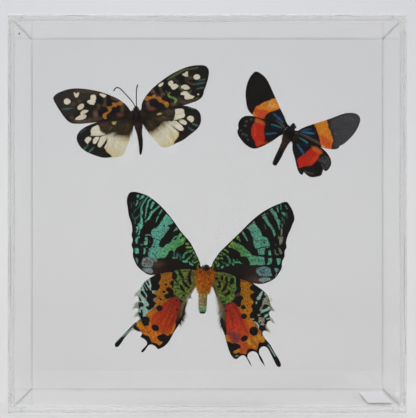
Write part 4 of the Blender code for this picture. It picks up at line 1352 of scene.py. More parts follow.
# %% Spotted moth left hindwing
markings("spotted_moth_hindwing_left", """
veins 133,122 107,130 114,139 81,130 77,139 82,149 93,155 105,158 117,157 125,151 129,141
bark 0.6
 area 99,122 110,119 134,117 133,130 130,135 124,136 116,134 106,134 100.6,131.6 99.6,126
brown 1.2
 spots 2 1 108.5,128.6 104,125
 spots 1 0.7 131.6,128.6
yellow 0.2
 area 112,122.2 117,121.5 116,123.8 114,125 112.5,124
teal 0.3
 streak 1.5 1.5 0.7 84.2,149.3 86.4,147.4 88.6,145
 streak 1.2 2.1 0.9 89.4,152 91.4,150.2 93.8,147.6
 streak 0.4 0.6 0.4 80.4,133.6 82.4,131.4 86,129
tan 0.2
 area 107,134.6 110.4,133.6 112.5,132.2 115.6,132.6 117,134 120,135 124,135.4 127,134.8 129.4,133.6
 131.6,130 134,134 130,147 126,156 122.5,158.5 112.6,158 111,155 108.4,153.2 106.2,151.2 105.6,149
 104.2,148 104.8,146.4 106.4,144 107.6,140.6
light 0.5
 streak 0.8 1.6 0.8 112.6,133.4 109.6,140 106.2,147
 streak 0.6 1.4 0.8 116,132.4 112.4,141 108.6,149
 streak 0.6 1 0.5 120.4,137 117.4,143 114.6,149
cream 0.12
 area 90.9,130.5 92.5,127.6 95.5,126 98,124.9 99.6,127.5 99.8,130.4 101.6,132 104.6,133.4 107,134.4
 103,135.6 98,136 93,136.3 90.3,136.3 91.6,134 91,132.3
 area 86.6,137.8 88.6,136.7 90.5,137 91.6,138.2 91.4,139.8 89.6,142 87.8,144.2 86.2,142.4 84.8,140.4
 area 94.8,138 96.6,136.8 99.8,137 99.2,138.8 97.6,141.4 96,143.8 93.9,144 92.9,142 93.4,139.8
 area 101,137 103.4,135.9 107.2,135 107.6,137 106,140.4 104.4,143 102.4,145.6 100.4,147.6 98.6,147.2
 97.8,145.6 98.4,143 99.6,140.6 100.4,138.4
smoke 0.4
 streak 0.9 1 0.8 100.4,128 101.8,131.4 105.6,133.4
 streak 1.6 0.6 117.2,133 114,136.8
 streak 1.2 0.4 129,133.6 128.4,137
black 0.3
 streak 1.2 1 0.6 0.4 89.6,136.4 94,136.5 100,136.3 106,134.7
 streak 0.4 1.5 1.2 106.6,141.4 105.4,143.6 104,146
 streak 1 0.3 119.4,133.4 118,136.4
 streak 1.2 0.3 123,134 122.2,137
 streak 1.2 0.3 126,134 125.6,137.2
 streak 0.9 0.3 110.4,132.6 108.4,134.8
""")

# %% Spotted moth right hindwing
markings("spotted_moth_hindwing_right", """
veins 142,118 166,117 163,129 196,109 201,119 197,129 188,138 176,144 164,147 155,140 148,130
bark 0.6
 area 142,112 158,106 172,106 175.6,110 175,116 173,120 165,121.4 160.6,124 156,128.4 150,131 145,124
brown 1
 spots 2.6 1.6 169.4,112.4
 streak 1 1.2 0.6 143,118.6 147.6,121.4 152,125
yellow 0.2
 spots 2.4 1.1 -12 159.3,114
teal 0.3
 streak 0.8 1.6 1.2 192.4,123.8 195.4,125.2 198,126
 streak 0.6 1.4 1.8 188.6,127.6 191,129.6 193.6,130.8
 streak 0.3 0.8 0.3 188,107.6 191.6,108.8 195,109.6
tan 0.2
 area 149.2,131 152,130.8 155,128.8 158.4,126.8 160.4,124.6 161.4,122.8 164,121.6 170,121 173.4,125
 177.6,130 178.8,133 178.6,136 177,138.4 175,141 173.4,144.6 173,148 165.6,150 158,147 150,137
light 0.5
 streak 0.6 1.4 0.8 164,122.4 170.4,128 176.6,134
 streak 0.6 1 0.5 158,128 165,134 171,141
cream 0.12
 area 175.2,109.4 178,108.8 182,108.8 184,110 184.4,113 185,115.6 184.4,117.2 181,118.6 177,120 173.6,120.2
 174.6,117.4 175.2,114
 area 187.2,117.6 189.4,116 193,116.5 194,118.8 193.5,121.3 192,122.6 189.5,121.2 187.3,119.3
 area 178.6,120.8 181.2,119.4 184.2,119.9 186.8,122 186.9,124 185.5,125.1 182.5,124.4 180.2,122.8
 area 170.6,122 173,121 176.3,121.1 179.3,123.3 182.3,126 184,129 182.8,130.9 179.6,130.6 176.4,128.8
 173,126.2
smoke 0.4
 streak 1.7 0.5 160.6,123.2 164.8,126.6
 streak 1.2 0.4 155.6,127.8 157.4,129.4
 spots 2 0.7 179.4,120
black 0.3
 streak 0.5 1.2 172.6,126.4 178,130.8
 streak 1 0.3 151.6,129.4 153.4,132
 streak 0.8 0.3 166,120.6 168.6,122.6
""")

# %% [markdown]
# ## The banded moth's wings
# Black wings, each with one broad band that is orange on its leading side and turns red, and thin blue
# streaks that fan from the root. The grey on the outer part of the right wings is painted sheen: the
# gloss of the black scales, put into their colour.

# %% Banded moth finishes
BANDED_FINISHES = {
    # grey is painted sheen: black scales drawn grey where gloss lies on the right wings.
    "grey": ("#3c3c3e", 0.0, 0.2),
    "brown": ("#54453a", 0.0, 0.3),
    "orange": ({6: "#d47c14", 14: "#d28022", 22: "#c86c20"}, 0.0, 0.3),
    "red": ("#b0240e", 0.0, 0.08),
    "coral": ("#c4421c", 0.0, 0.12),
    "amber": ("#bc5e28", 0.0, 0.15),
    "pale": ("#dcb070", 0.0, 0.1),
    "speck": ("#595451", 0.0, 0.3),
    "blue": ("#235a80", 0.4, 0.4),
    "navy": ("#171d42", 0.4, 0.3),
    "teal": ("#34807f", 0.4, 0.3),
}
print("banded moth finishes:", len(BANDED_FINISHES))

# %% Banded moth left forewing
markings("banded_moth_forewing_left", """
veins 287,125 268,98 264,106 264,77 256,72 249,79 246,90 246,103 250,114 261,118 273,122
navy 0.5
 streak 2.5 1.5 277,104 281,112 285,120
 streak 0.9 279,115.6 283,119.7
brown 0.4
 streak 0.6 1.6 2 276,120.6 280,123.4 283.5,127.4
orange 0
 area 275.5,98.7 271.2,99.3 269.7,100.7 266.9,101.3 264,102.4 261.1,103.9 259.4,105.6 256.5,106.5
 255.1,108.2 254.2,111.1 252.5,113.4 252.8,117 257.7,119 262.3,119.5 264,118 265.1,115.4 267.4,113.3
 270.3,112.2 273.2,111.3 276.6,110.2 278.9,108.8 281.5,108.2 277,98
coral 0.5
 area 255.4,108.6 259,109.8 263,110 267,110.4 270,112 267.4,113.6 265.1,115.6 264.4,118.6 260,119
 257.4,117.8 256,115 254,113.4 253.8,111
amber 0.4
 streak 0.8 256.6,112.6 260,114.4 263,115.6
 streak 0.7 259,110.4 263,112 266,113
pale 1
 spots 1.3 0.9 273.2,106.5
 spots 0.9 1.5 269.8,104.4
blue 0.3
 streak 0.8 1.7 2.2 1.6 273.2,113.9 276,116.4 279.4,119.4 282.4,122.2
""")

# %% Banded moth right forewing
# The grey area on its outer part is painted sheen on black scales.
markings("banded_moth_forewing_right", """
veins 297,131 322,124 321,133 345,114 357,115 359,122 355,131 348,141 339,147 330,149 316,144
grey 1.5
 area 329,119 345,113 357,114 362,120 356,134 345,145 336,150 333,146 333.6,138 330,129
brown 0.6
 streak 1.2 2 300.3,134 306,136.5 313,140.3 319.7,143.8
 streak 0.9 341,119 347,118.6 353,119.8
orange 0
 area 314.3,125.2 313.5,122.5 325.8,118 326.8,122.3 327.9,124.6 327.6,126.9 329.1,129.5 330.2,131.5
 330.4,133.6 331.4,135.6 332.4,138.7 332.9,140.7 331.9,143.8 331.2,145.8 331,151 325.3,151 321.7,148.5
 320.7,145.3 320.2,142.2 319.7,138.7 318.4,135.1 316.9,131.5 315.6,128 314.6,126.7
coral 0.8
 area 319.2,135 323,136 327,139 330.6,142 330.6,147 328.6,149 325.3,148 322.4,146 321,144 320.2,139.6
amber 0.4
 streak 0.8 321.6,139 326,141.6 330,143
 streak 0.8 321.6,142.4 326,145 329,147.4
pale 0.2
 spots 0.4 0.45 335.4,133.8
 streak 0.6 1 321.6,145.6 324.4,147.2
blue 0.35
 streak 1 2.6 2.4 1.2 301,131.7 305.4,132.4 309.4,133.2 313.6,133.6
 streak 0.6 1.1 0.4 303,130 307,129.6 311,129.4
""")

# %% Banded moth left hindwing
markings("banded_moth_hindwing_left", """
veins 284,129 262,122 264,132 246,116 239,122 237,132 242,141 249,147 260,147 271,142
navy 0.4
 area 271,127 276,126.3 282,127.5 283,129.5 275,130 271.5,129
red 0
 area 255.7,118.8 258.8,120 261.7,121.4 264,123.1 264.6,125.4 264,128.3 264,131.7 264,135.2 264.9,137.5
 264.3,140.3 262.9,143.2 260,146.1 257.1,146.9 255.4,145.5 255.1,142.1 253.1,138.9 251.4,135.2 251.1,130.6
 251.4,127.7 253.1,124.5 255.1,122
amber 0.8
 area 255.7,118.4 258.8,119.4 263.6,122 264.6,124.8 260.6,123.8 256.6,122.6 255,121.6
coral 0.8
 streak 1 2 1 254,125.4 254.6,130 254.4,135
 spots 3 1 262,143
teal 0.25
 streak 0.8 1.3 0.8 271.4,124.6 277,126.2 281.6,128.2
blue 0.3
 streak 0.6 1.7 1 264.8,134.2 269,133.8 276,133.2
speck 0.5
 spots 0.9 0.8 243,134.2 246.2,135.6 246.4,121.6 245.2,126
 spots 0.6 0.6 241,130.5 248,140 251,119.6
""")

# %% Banded moth right hindwing
# The grey streak along its outer edge is painted sheen on black scales.
markings("banded_moth_hindwing_right", """
veins 296,137 310,147 304,155 329,156 331,164 325,171 318,176.5 309,176.5 301,174 296,165 292,150
navy 0.5
 spots 3 1.6 30 305.5,145
red 0
 area 312,147.1 315.1,147.6 318.2,149.4 320.7,150.9 321.5,152.4 320.2,154 318.9,156 318.4,158.6 316.6,160.9
 314.6,162.7 311.8,165.5 308.5,166.2 305.4,166.2 301.8,167 300.3,168 298.8,168 298.3,165.2 297,161.6
 297.2,159.1 299.8,157 302.3,155.3 304.9,154 306.9,151.4 309.5,149.4 311.3,148.4
amber 0.8
 area 312,146.8 316,147.4 320.8,150.4 322,152.8 320.6,153.8 317.4,152.4 313.4,150.4
coral 0.9
 streak 1.4 2.6 1.4 318,155 315,158.4 311,162
teal 0.25
 streak 0.8 1.7 1.2 298.2,137 303,139.9 307.4,142.8
blue 0.3
 streak 1.2 2.2 1.4 297.4,144.6 300.5,149.4 303.9,154.2
grey 1.4
 streak 1.2 2.6 2.8 1.6 319.6,160 323.6,160.6 326.6,164 327.4,168
speck 0.6
 streak 0.3 0.6 0.4 321.6,164.4 323.4,168.2 322.6,171
 streak 0.3 0.6 0.4 324.6,155.8 327.8,159.4 328.8,163.6
 streak 0.3 0.4 0.3 304,171 308,173 312.6,173.8
 spots 0.7 0.6 328,157.6 325.6,160.6 319.6,160.6
 spots 0.4 0.4 322.4,161.4 324.6,163 326.8,166.4 322.6,157.8 329.6,161
""")

# %% [markdown]
# ## All the wings
# Each moth's wings share their finishes. The table gives each moth's thorax, the ground colour that its
# layers lie on, the finishes and the slot.

# %% Make the wings
MOTHS = {
    "sunset_moth": ("204.8,278", "#100d0b", SUNSET_FINISHES, "sunset_wing"),
    "spotted_moth": ("137,117.5", "#17120f", SPOTTED_FINISHES, "spotted_wing"),
    "banded_moth": ("289.6,132.8", "#110e0b", BANDED_FINISHES, "banded_wing"),
}
for name, layers in LAYERS.items():
    thorax, ground, finishes, slot = MOTHS[name.split("_moth")[0] + "_moth"]
    wing = make_wing(name, read(thorax)[0])
    wing.name = name + "_scaled"
    look = scales_material(name + " scales", ground, layers, finishes)
    dress(wing, look, slot, name)


# %% [markdown]
# ## Bodies
# Head, thorax and abdomen grew as one piece, widest at the thorax and ringed towards the tail. A path
# curve with a round section follows the body from head to tail, with its own radius at each point. It
# becomes a mesh, and the rings of the abdomen are pressed into it.


# %% Tubes along paths
def tube(name, paths, radii, sides, smoothness):
    """One mesh of smooth tubes; each path has its own list of radii in metres."""
    bpy.ops.object.select_all(action="DESELECT")
    bpy.ops.curve.primitive_nurbs_path_add(location=(0, 0, 0))
    made = bpy.context.object
    made.name = name
    curve = made.data
    curve.bevel_depth = 1.0
    curve.bevel_resolution = sides - 2
    curve.use_fill_caps = True
    curve.splines.clear()
    for points, sizes in zip(paths, radii):
        spline = curve.splines.new("NURBS")
        spline.points.add(len(points) - 1)
        for place, point, size in zip(spline.points, points, sizes):
            place.co = (*point, 1)
            place.radius = size
        spline.order_u = 3
        spline.use_endpoint_u = True
        spline.resolution_u = smoothness
    bpy.ops.object.convert(target="MESH")
    bpy.ops.object.mode_set(mode="EDIT")
    bpy.ops.mesh.select_all(action="SELECT")
    bpy.ops.mesh.remove_doubles(threshold=MERGE)
    bpy.ops.mesh.normals_make_consistent(inside=False)
    bpy.ops.object.mode_set(mode="OBJECT")
    bpy.ops.object.shade_smooth_by_angle(angle=math.radians(50))
    return made


def along_path(where, points):
    """For each place, the share of the path's length reached, and the nearest point on the path."""
    path = np.array(points)
    start, edge = path[:-1], np.diff(path, axis=0)
    lengths = np.sqrt((edge**2).sum(1))
    before = np.concatenate([[0], np.cumsum(lengths)])
    away = where[:, None] - start
    share = np.clip((away * edge).sum(2) / (lengths**2), 0, 1)
    near = start + share[..., None] * edge
    best = np.sqrt(((where[:, None] - near) ** 2).sum(2)).argmin(1)
    rows = np.arange(len(where))
    return (before[best] + share[rows, best] * lengths[best]) / before[-1], near[rows, best]


# %% Where the bodies run
HINDWING_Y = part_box("sunset_moth_hindwing_left")[0].y
FOREWING_BACK_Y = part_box("sunset_moth_forewing_left")[1].y
BODY_Y = (HINDWING_Y + FOREWING_BACK_Y) / 2
SPINES = {
    "sunset_moth": (
        "206.2,264.6 206.3,266 206.2,268 205.8,269.8 205.3,271.2 205,273.6 204.8,277 204.4,281 "
        "203.9,285.4 203.6,289.4 203.2,293 202.8,298 202.6,303.5 202.5,308.5 202.5,311.4 202.5,313.2",
        (1.2, 3.0, 3.5, 3.6, 6.0, 7.8, 8.2, 7.6, 6.2, 4.9, 4.4, 4.2, 4.0, 3.8, 3.3, 2.6),
    ),
    "spotted_moth": (
        "136.3,106.2 136.3,107.8 136.3,110 136.4,111.8 136.7,114 137.1,117.5 137.6,121 138.5,125 "
        "139.1,130 139.8,135 140.6,140 141,146 140.9,151 140.5,155",
        (1, 2.2, 2.6, 3, 4.6, 5.2, 4.9, 4.1, 3.3, 2.4, 2.3, 1.9, 1.3, 0.5),
    ),
    "banded_moth": (
        "293.6,123.4 293.3,124.8 292.7,126.6 292.1,128 291,130.2 289.6,132.8 288.2,135.6 286.6,139 "
        "284.6,143.4 282.2,148.4 279.4,154.2 276.8,159.4 274.8,163.4 274,165.2",
        (1, 2.1, 2.5, 2.8, 4.9, 5.6, 5.2, 4.4, 3.5, 3.1, 3.1, 2.9, 2.5, 1.6),
    ),
}
ABDOMEN_STARTS = {"sunset_moth": 0.54, "spotted_moth": 0.42, "banded_moth": 0.4}
ABDOMEN_END = 0.97
ABDOMEN_RINGS = 7
FIRST_GROOVE = 0.2
GROOVE_WIDTH = 0.02
RING_DEPTH = 0.07
LUMP_DEPTH = 0.06
LUMP_SIZE = 1.3 * MM
LOCK_SIZE = 0.9 * MM
GROOVE_SHADE = 0.3


def spine_of(moth):
    path, sizes = SPINES[moth]
    return at_depth(read(path), BODY_Y), [size * PIXEL_MM * MM for size in sizes]


def ring_groove(moth, along):
    """From 0 between the abdomen's grooves to 1 in one of them."""
    start = ABDOMEN_STARTS[moth]
    turns = (along - start) / (ABDOMEN_END - start) * ABDOMEN_RINGS
    groove = np.exp(-(((turns % 1) - 0.5) ** 2) / GROOVE_WIDTH)
    return groove * (turns > FIRST_GROOVE) * (turns < ABDOMEN_RINGS)


def tufts(where, size=LOCK_SIZE):
    """A soft random field from about -0.5 to 0.5, in lumps of this size."""
    return np.array([noise.noise(Vector(place) / size) for place in where])


def make_body(moth):
    points, radii = spine_of(moth)
    made = tube(moth + "_skin", [points], [radii], sides=14, smoothness=7)
    where = coordinates(made.data)
    along, middle = along_path(where, points)
    groove = ring_groove(moth, along)
    swell = 1 - RING_DEPTH * groove + LUMP_DEPTH * tufts(where, LUMP_SIZE)
    put_coordinates(made.data, middle + (where - middle) * swell[:, None])
    store(made.data, "along", along)
    store(made.data, "tone", 0.25 + 0.5 * tufts(where) - GROOVE_SHADE * groove)
    return made


for moth in SPINES:
    points, radii = spine_of(moth)
    print(f"{moth}: {(points[-1] - points[0]).length / MM:.0f} mm from head to tail,"
          f" {2 * max(radii) / MM:.1f} mm across the thorax")


# %% [markdown]
# ## Fur
# A moth's body is covered in hair-like scales, which blur its outline. One hair is modelled once, as
# a three-sided cone cut in the middle so that it can bend, and copied thousands of times into one mesh,
# each copy with its own root, direction, length and tone. Seeded random numbers give the same coat
# each time. A hair here stands for a lock of real ones, so that it shows.


# %% One hair
def single_hair():
    """Points and faces of a cone of height 1 and radius 1, cut once so that it can bend."""
    bpy.ops.object.select_all(action="DESELECT")
    bpy.ops.mesh.primitive_cone_add(vertices=3, radius1=1, radius2=0, depth=1, location=(0, 0, 0.5))
    cone = bpy.context.object
    settle(cone)
    bpy.ops.object.mode_set(mode="EDIT")
    bpy.ops.mesh.select_all(action="SELECT")
    bpy.ops.mesh.bisect(plane_co=(0, 0, 0.5), plane_no=(0, 0, 1))
    bpy.ops.object.mode_set(mode="OBJECT")
    points = coordinates(cone.data)
    faces = [list(face.vertices) for face in cone.data.polygons]
    bpy.data.objects.remove(cone)
    return points, faces


HAIR_POINTS, HAIR_FACES = single_hair()
print(f"one hair: {len(HAIR_POINTS)} points and {len(HAIR_FACES)} faces")

# %% A coat of many hairs
HAIR_DROOP = 0.2
draw = np.random.default_rng(7)


def unit(vectors):
    return vectors / np.maximum(np.sqrt((vectors**2).sum(-1, keepdims=True)), TINY)


def coat(name, groups, thickness):
    """One mesh from groups of hairs: arrays of root, direction and length in metres, place and tone."""
    roots, directions, lengths, along, tone = (np.concatenate(column) for column in zip(*groups))
    ahead = unit(directions)
    across = unit(np.cross(ahead, draw.normal(size=ahead.shape)))
    aside = np.cross(ahead, across)
    bend = unit(draw.normal(size=ahead.shape)) * HAIR_DROOP * lengths[:, None]
    x, y, height = HAIR_POINTS.T
    where = (
        roots[:, None]
        + ahead[:, None] * height[:, None] * lengths[:, None, None]
        + bend[:, None] * (height**2)[:, None]
        + across[:, None] * x[:, None] * thickness
        + aside[:, None] * y[:, None] * thickness
    )
    count, size = len(roots), len(HAIR_POINTS)
    faces = [[k * size + corner for corner in face] for k in range(count) for face in HAIR_FACES]
    mesh = bpy.data.meshes.new(name)
    mesh.from_pydata(where.reshape(-1, 3).tolist(), [], faces)
    store(mesh, "along", np.repeat(along, size))
    store(mesh, "tone", np.repeat(tone, size))
    return new_piece(name, mesh)


# %% Hairs on a body, and between two paths
LOOK_AHEAD = 0.03
ROOT_DEPTH = 0.96
TANGLE = 0.22
LOCK_TANGLE = 0.35
LOCK_SPREAD = 0.3
DEPTH_SPREAD = 0.2 * MM


def between(share, steps, values):
    """Rows of values at these shares of the way, where the known rows lie at these steps."""
    return np.column_stack([np.interp(share, steps, column) for column in np.transpose(values)])


def tone_of(roots):
    return 0.5 + 0.7 * tufts(roots) + draw.normal(scale=0.2, size=len(roots))


def body_hairs(moth, count, first, last, length, stand):
    """Hairs on a stretch of the body; stand is 1 for upright ones and 0 for lying ones."""
    points, radii = spine_of(moth)
    path = np.array(points)
    steps = np.concatenate([[0], np.cumsum(np.sqrt((np.diff(path, axis=0) ** 2).sum(1)))])
    steps /= steps[-1]
    share = draw.uniform(first, last, count)
    middle = between(share, steps, path)
    ahead = between(share + LOOK_AHEAD, steps, path) - middle
    ahead = unit(ahead + (path[-1] - path[0]) * 1e-3)
    side = unit(np.cross(ahead, (0, 1, 0)))
    turn = draw.uniform(0, 2 * math.pi, count)[:, None]
    out = side * np.cos(turn) + np.array((0, 1, 0)) * np.sin(turn)
    roots = middle + out * np.interp(share, steps, radii)[:, None] * ROOT_DEPTH
    direction = out * stand + ahead * (1 - stand) + draw.normal(scale=TANGLE, size=out.shape)
    tone = tone_of(roots) - GROOVE_SHADE * ring_groove(moth, share)
    return roots, direction, length * MM * draw.uniform(0.6, 1.15, count), share, tone


def hairs_between(roots, tips, count, y, first, last):
    """Hairs that start on one path and point to a second one; along runs from first to last."""
    share = draw.uniform(0, 1, count)
    paths = [curved(points) for points in (roots, tips)]
    start, end = (between(share, np.linspace(0, 1, len(path)), path) for path in paths)
    run = end - start + draw.normal(scale=LOCK_TANGLE, size=start.shape)
    start = start + draw.normal(scale=LOCK_SPREAD, size=start.shape)
    depth = y + draw.normal(scale=DEPTH_SPREAD, size=count)
    roots = np.column_stack([start[:, 0] * MM, depth, start[:, 1] * MM])
    direction = np.column_stack([run[:, 0], draw.normal(scale=0.4, size=count), run[:, 1]])
    lengths = np.sqrt((run**2).sum(1)) * MM * draw.uniform(0.5, 1.1, count)
    return roots, direction, lengths, first + share * (last - first), tone_of(roots)

def locks(text):
    """From a text: the number of hairs, their span along the coat, and the paths of roots and tips."""
    for numbers, roots, tips in re.findall("hairs([^a-z]+)from([^a-z]+)to([^a-z]+)", text):
        count, first, last = numbers.split()
        yield int(count), float(first), float(last), read(roots), read(tips)


# %% [markdown]
# The coat's colour runs from head to tail. Each hair's tone then makes it darker and redder, or lighter
# and yellower, so that locks show. Hair is matt, because its fine rods scatter the light. A coat is a few
# stretches of the body: how many hairs, where they start and end along it, their length in mm, and how
# upright they stand. Tufts at the shoulders lie over the wing roots.


# %% Material for fur
def fur_material(name, stops):
    made, shader, tree = new_material(name, Roughness=0.8, Specular_IOR_Level=0.12)
    along = node(tree, "Attribute", attribute_name="along").outputs["Fac"]
    tone = node(tree, "Attribute", attribute_name="tone").outputs["Fac"]
    ramp = node(tree, "ValToRGB", {"Fac": along})
    set_stops(ramp, stops)
    hue = node(tree, "MapRange", {"Value": tone, "To Min": 0.475, "To Max": 0.52})
    value = node(tree, "MapRange", {"Value": tone, "To Min": 0.4, "To Max": 1.7})
    colour = node(tree, "HueSaturation", {"Hue": hue, "Value": value, "Color": ramp})
    place = node(tree, "TexCoord").outputs["Object"]
    lock = node(tree, "TexNoise", {"Vector": place, "Scale": 1400.0, "Detail": 2.0})
    bright = node(tree, "MapRange", {"Value": lock, "To Min": 0.4, "To Max": 1.6})
    colour = {0: 1.0, 6: colour, 7: bright}
    colour = node(tree, "Mix", colour, data_type="RGBA", blend_type="MULTIPLY")
    tree.links.new(colour.outputs[2], shader.inputs["Base Color"])
    return made


# %% Colours of the coats, from head to tail
SUNSET_COAT = {
    0.0: "#2a241d", 0.11: "#2e261c", 0.14: "#a45a14", 0.2: "#c2701e", 0.35: "#c6781c", 0.48: "#d48422",
    0.55: "#c8943f", 0.63: "#b29c5c", 0.75: "#9a8f5c", 0.86: "#a6a46f", 0.9: "#87b48c",
    0.955: "#6fb481", 0.968: "#141611", 1.0: "#141611",
}
DARK_COAT = {
    0.0: "#171310", 0.3: "#1a1612", 0.4: "#3c2e24", 0.6: "#33281f", 0.7: "#1a1511", 1.0: "#12100e",
}

# %% Bodies and their coats
COATS = {
    "sunset_moth": (
        (3800, 0.14, 0.57, 1.9, 0.6),
        (1200, 0.115, 0.21, 1.6, 0.6),
        (500, 0.0, 0.11, 0.5, 0.4),
        (2000, 0.54, 0.955, 0.8, 0.2),
    ),
    "spotted_moth": ((1100, 0.12, 0.45, 0.7, 0.35), (900, 0.4, 0.98, 0.5, 0.4)),
    "banded_moth": ((1100, 0.12, 0.42, 0.8, 0.35), (1100, 0.4, 0.98, 0.4, 0.3)),
}
SHOULDERS = {
    "sunset_moth": """
hairs 260 0.16 0.2 from 196.5,275 198.4,272.4 200.4,271.4 202.4,271.8
 to 195.4,271.4 197.4,268.2 200.2,268 203,269.4
hairs 260 0.16 0.2 from 208.4,271.8 210,271.4 211.6,272.2 213.2,275
 to 208.2,270 210.6,268 213,268.6 214.8,272
""",
    "spotted_moth": """
hairs 420 0.4 0.6 from 135.4,110.4 134,114 134.4,118 136,122.4
 to 130.6,111.6 126.6,116.4 126.4,122 131.4,127.4
hairs 420 0.4 0.6 from 138.6,110.4 140.4,114 141,118 141.6,121.6
 to 142.4,111.4 148.6,114.6 150.6,120.6 147,127
""",
    "banded_moth": """
hairs 300 0.4 0.6 from 291,129 288.4,131.6 286.6,135 285.2,138.4
 to 287,127 283.6,130.4 282.4,134.8 281.6,139.4
hairs 300 0.4 0.6 from 294.6,131.6 294.2,134.6 292.4,138 290.4,141.4
 to 298.4,131.8 299.2,136 296.6,140.6 292.6,144.4
hairs 320 0.1 0.3 from 290.6,127.6 289,130 287.4,132.6 286,135.6
 to 286.6,126 284,128.6 282,131.6 281.4,135.4
""",
}
FUR = {
    "sunset_moth": ("sunset_fur", SUNSET_COAT),
    "spotted_moth": ("dark_fur", DARK_COAT),
    "banded_moth": ("dark_fur", DARK_COAT),
}
HAIR_THICKNESS = 0.075 * MM
SHOULDER_Y = BODY_Y - 1.2 * MM

for moth, (slot, colours) in FUR.items():
    look = fur_material(moth + " fur", colours)
    dress(make_body(moth), look, slot, moth + "_body")
    hairs = [body_hairs(moth, *stretch) for stretch in COATS[moth]]
    for count, first, last, roots, tips in locks(SHOULDERS[moth]):
        hairs.append(hairs_between(roots, tips, count, SHOULDER_Y, first, last))
    dress(coat(moth + "_fur", hairs, HAIR_THICKNESS), look, slot)

# %% [markdown]
# ## Eyes, legs and feelers
# Each eye is a dark, glossy dome. Legs fold flat under the body, out of sight from the front. Only the
# spotted moth keeps its feelers: thin threads that thicken slightly before the tip and curl. All are
# chitin, smooth and hard as a fingernail. Its fine cells stand for the facets of the eyes.

# %% Chitin
chitin, shader, tree = new_material("dark chitin", Roughness=0.35, Specular_IOR_Level=0.4)
place = node(tree, "TexCoord").outputs["Object"]
shade = node(tree, "TexNoise", {"Vector": place, "Scale": 700.0, "Detail": 2.0})
colour = {0: shade, 6: linear("#0c0a08"), 7: linear("#30261c")}
colour = node(tree, "Mix", colour, data_type="RGBA")
tree.links.new(colour.outputs[2], shader.inputs["Base Color"])
facets = node(tree, "TexVoronoi", {"Vector": place, "Scale": 7000.0})
bump = node(tree, "Bump", {"Height": facets, "Strength": 0.25, "Distance": 0.02 * MM})
tree.links.new(bump.outputs["Normal"], shader.inputs["Normal"])
print("material:", chitin.name)

# %% Legs and feelers
LEG_PATHS = (
    ((-0.3, 0.3, 0.7), (-0.9, 0.7, 1.15), (-1.35, 0.3, 1.1)),
    ((0.1, 0.35, 0.7), (0.2, 0.95, 1.2), (1.0, 0.65, 1.3), (1.9, 0.5, 1.15)),
    ((0.5, 0.15, 0.7), (1.0, 0.6, 1.15), (2.1, 0.3, 1.1), (3.1, 0.35, 0.95)),
)
FEELERS = (
    "135.8,108 134,103.8 130,98.9 124.8,93.4 120.6,88.8 117.3,87.3 115,88.9 113.8,91.2",
    "136.6,107.5 136.4,99 136.5,91 136.9,87.6 137.8,85",
)
LEG_REACH = {"sunset_moth": 4.5, "spotted_moth": 2.7, "banded_moth": 2.9}


def joined_legs(moth):
    points, radii = spine_of(moth)
    widest = int(np.argmax(radii))
    middle, radius = points[widest], LEG_REACH[moth] * MM
    ahead = (points[widest + 1] - points[widest - 1]).normalized()
    behind = Vector((0, 1, 0))
    paths = []
    for path in LEG_PATHS:
        for side in (-1, 1):
            across = behind.cross(ahead) * side
            paths.append([middle + (ahead * u + across * v + behind * w) * radius for u, v, w in path])
    thick = [np.linspace(0.3, 0.16, len(path)) * MM for path in paths]
    return tube(moth + "_legs", paths, thick, sides=5, smoothness=8)


for moth in SPINES:
    dress(joined_legs(moth), chitin, FUR[moth][0])
threads = [at_depth(read(text), BODY_Y) for text in FEELERS]
thick = [np.linspace(0.24, 0.36, len(thread)) * MM for thread in threads]
feelers = tube("spotted_moth_feelers", threads, thick, sides=6, smoothness=8)
dress(feelers, chitin, "dark_fur")

# %% Eyes
EYES = {
    "sunset_moth": ("203.5,267.9 208.7,268.1", 2.1),
    "spotted_moth": ("134.6,109.2 138.2,109.2", 1.5),
    "banded_moth": ("291,126.4 295,127.4", 1.5),
}
EYE_Y = BODY_Y - 0.8 * MM
EYE_SHAPE = (0.8, 1.0, 1.0)
for moth, (text, pixels) in EYES.items():
    domes = []
    radius = pixels * PIXEL_MM * MM
    for middle in at_depth(read(text), EYE_Y):
        bpy.ops.object.select_all(action="DESELECT")
        bpy.ops.mesh.primitive_uv_sphere_add(segments=20, ring_count=12, radius=radius, location=middle)
        bpy.context.object.scale = EYE_SHAPE
        settle(bpy.context.object)
        domes.append(bpy.context.object)
    only(*domes)
    bpy.ops.object.join()
    eyes = bpy.context.object
    eyes.name = moth + "_eyes"
    settle(eyes)
    bpy.ops.object.shade_smooth()
    dress(eyes, chitin, FUR[moth][0])

# %% [markdown]
# ## Hair along wing edges
# Long hair lines the inner edge of the sunset moth's hindwings, with darker tufts low down. Each lock
# starts on one path and points to a second one, so both paths were read off the photograph. Brown hair
# hides the roots of the spotted moth's hindwings in the same way.

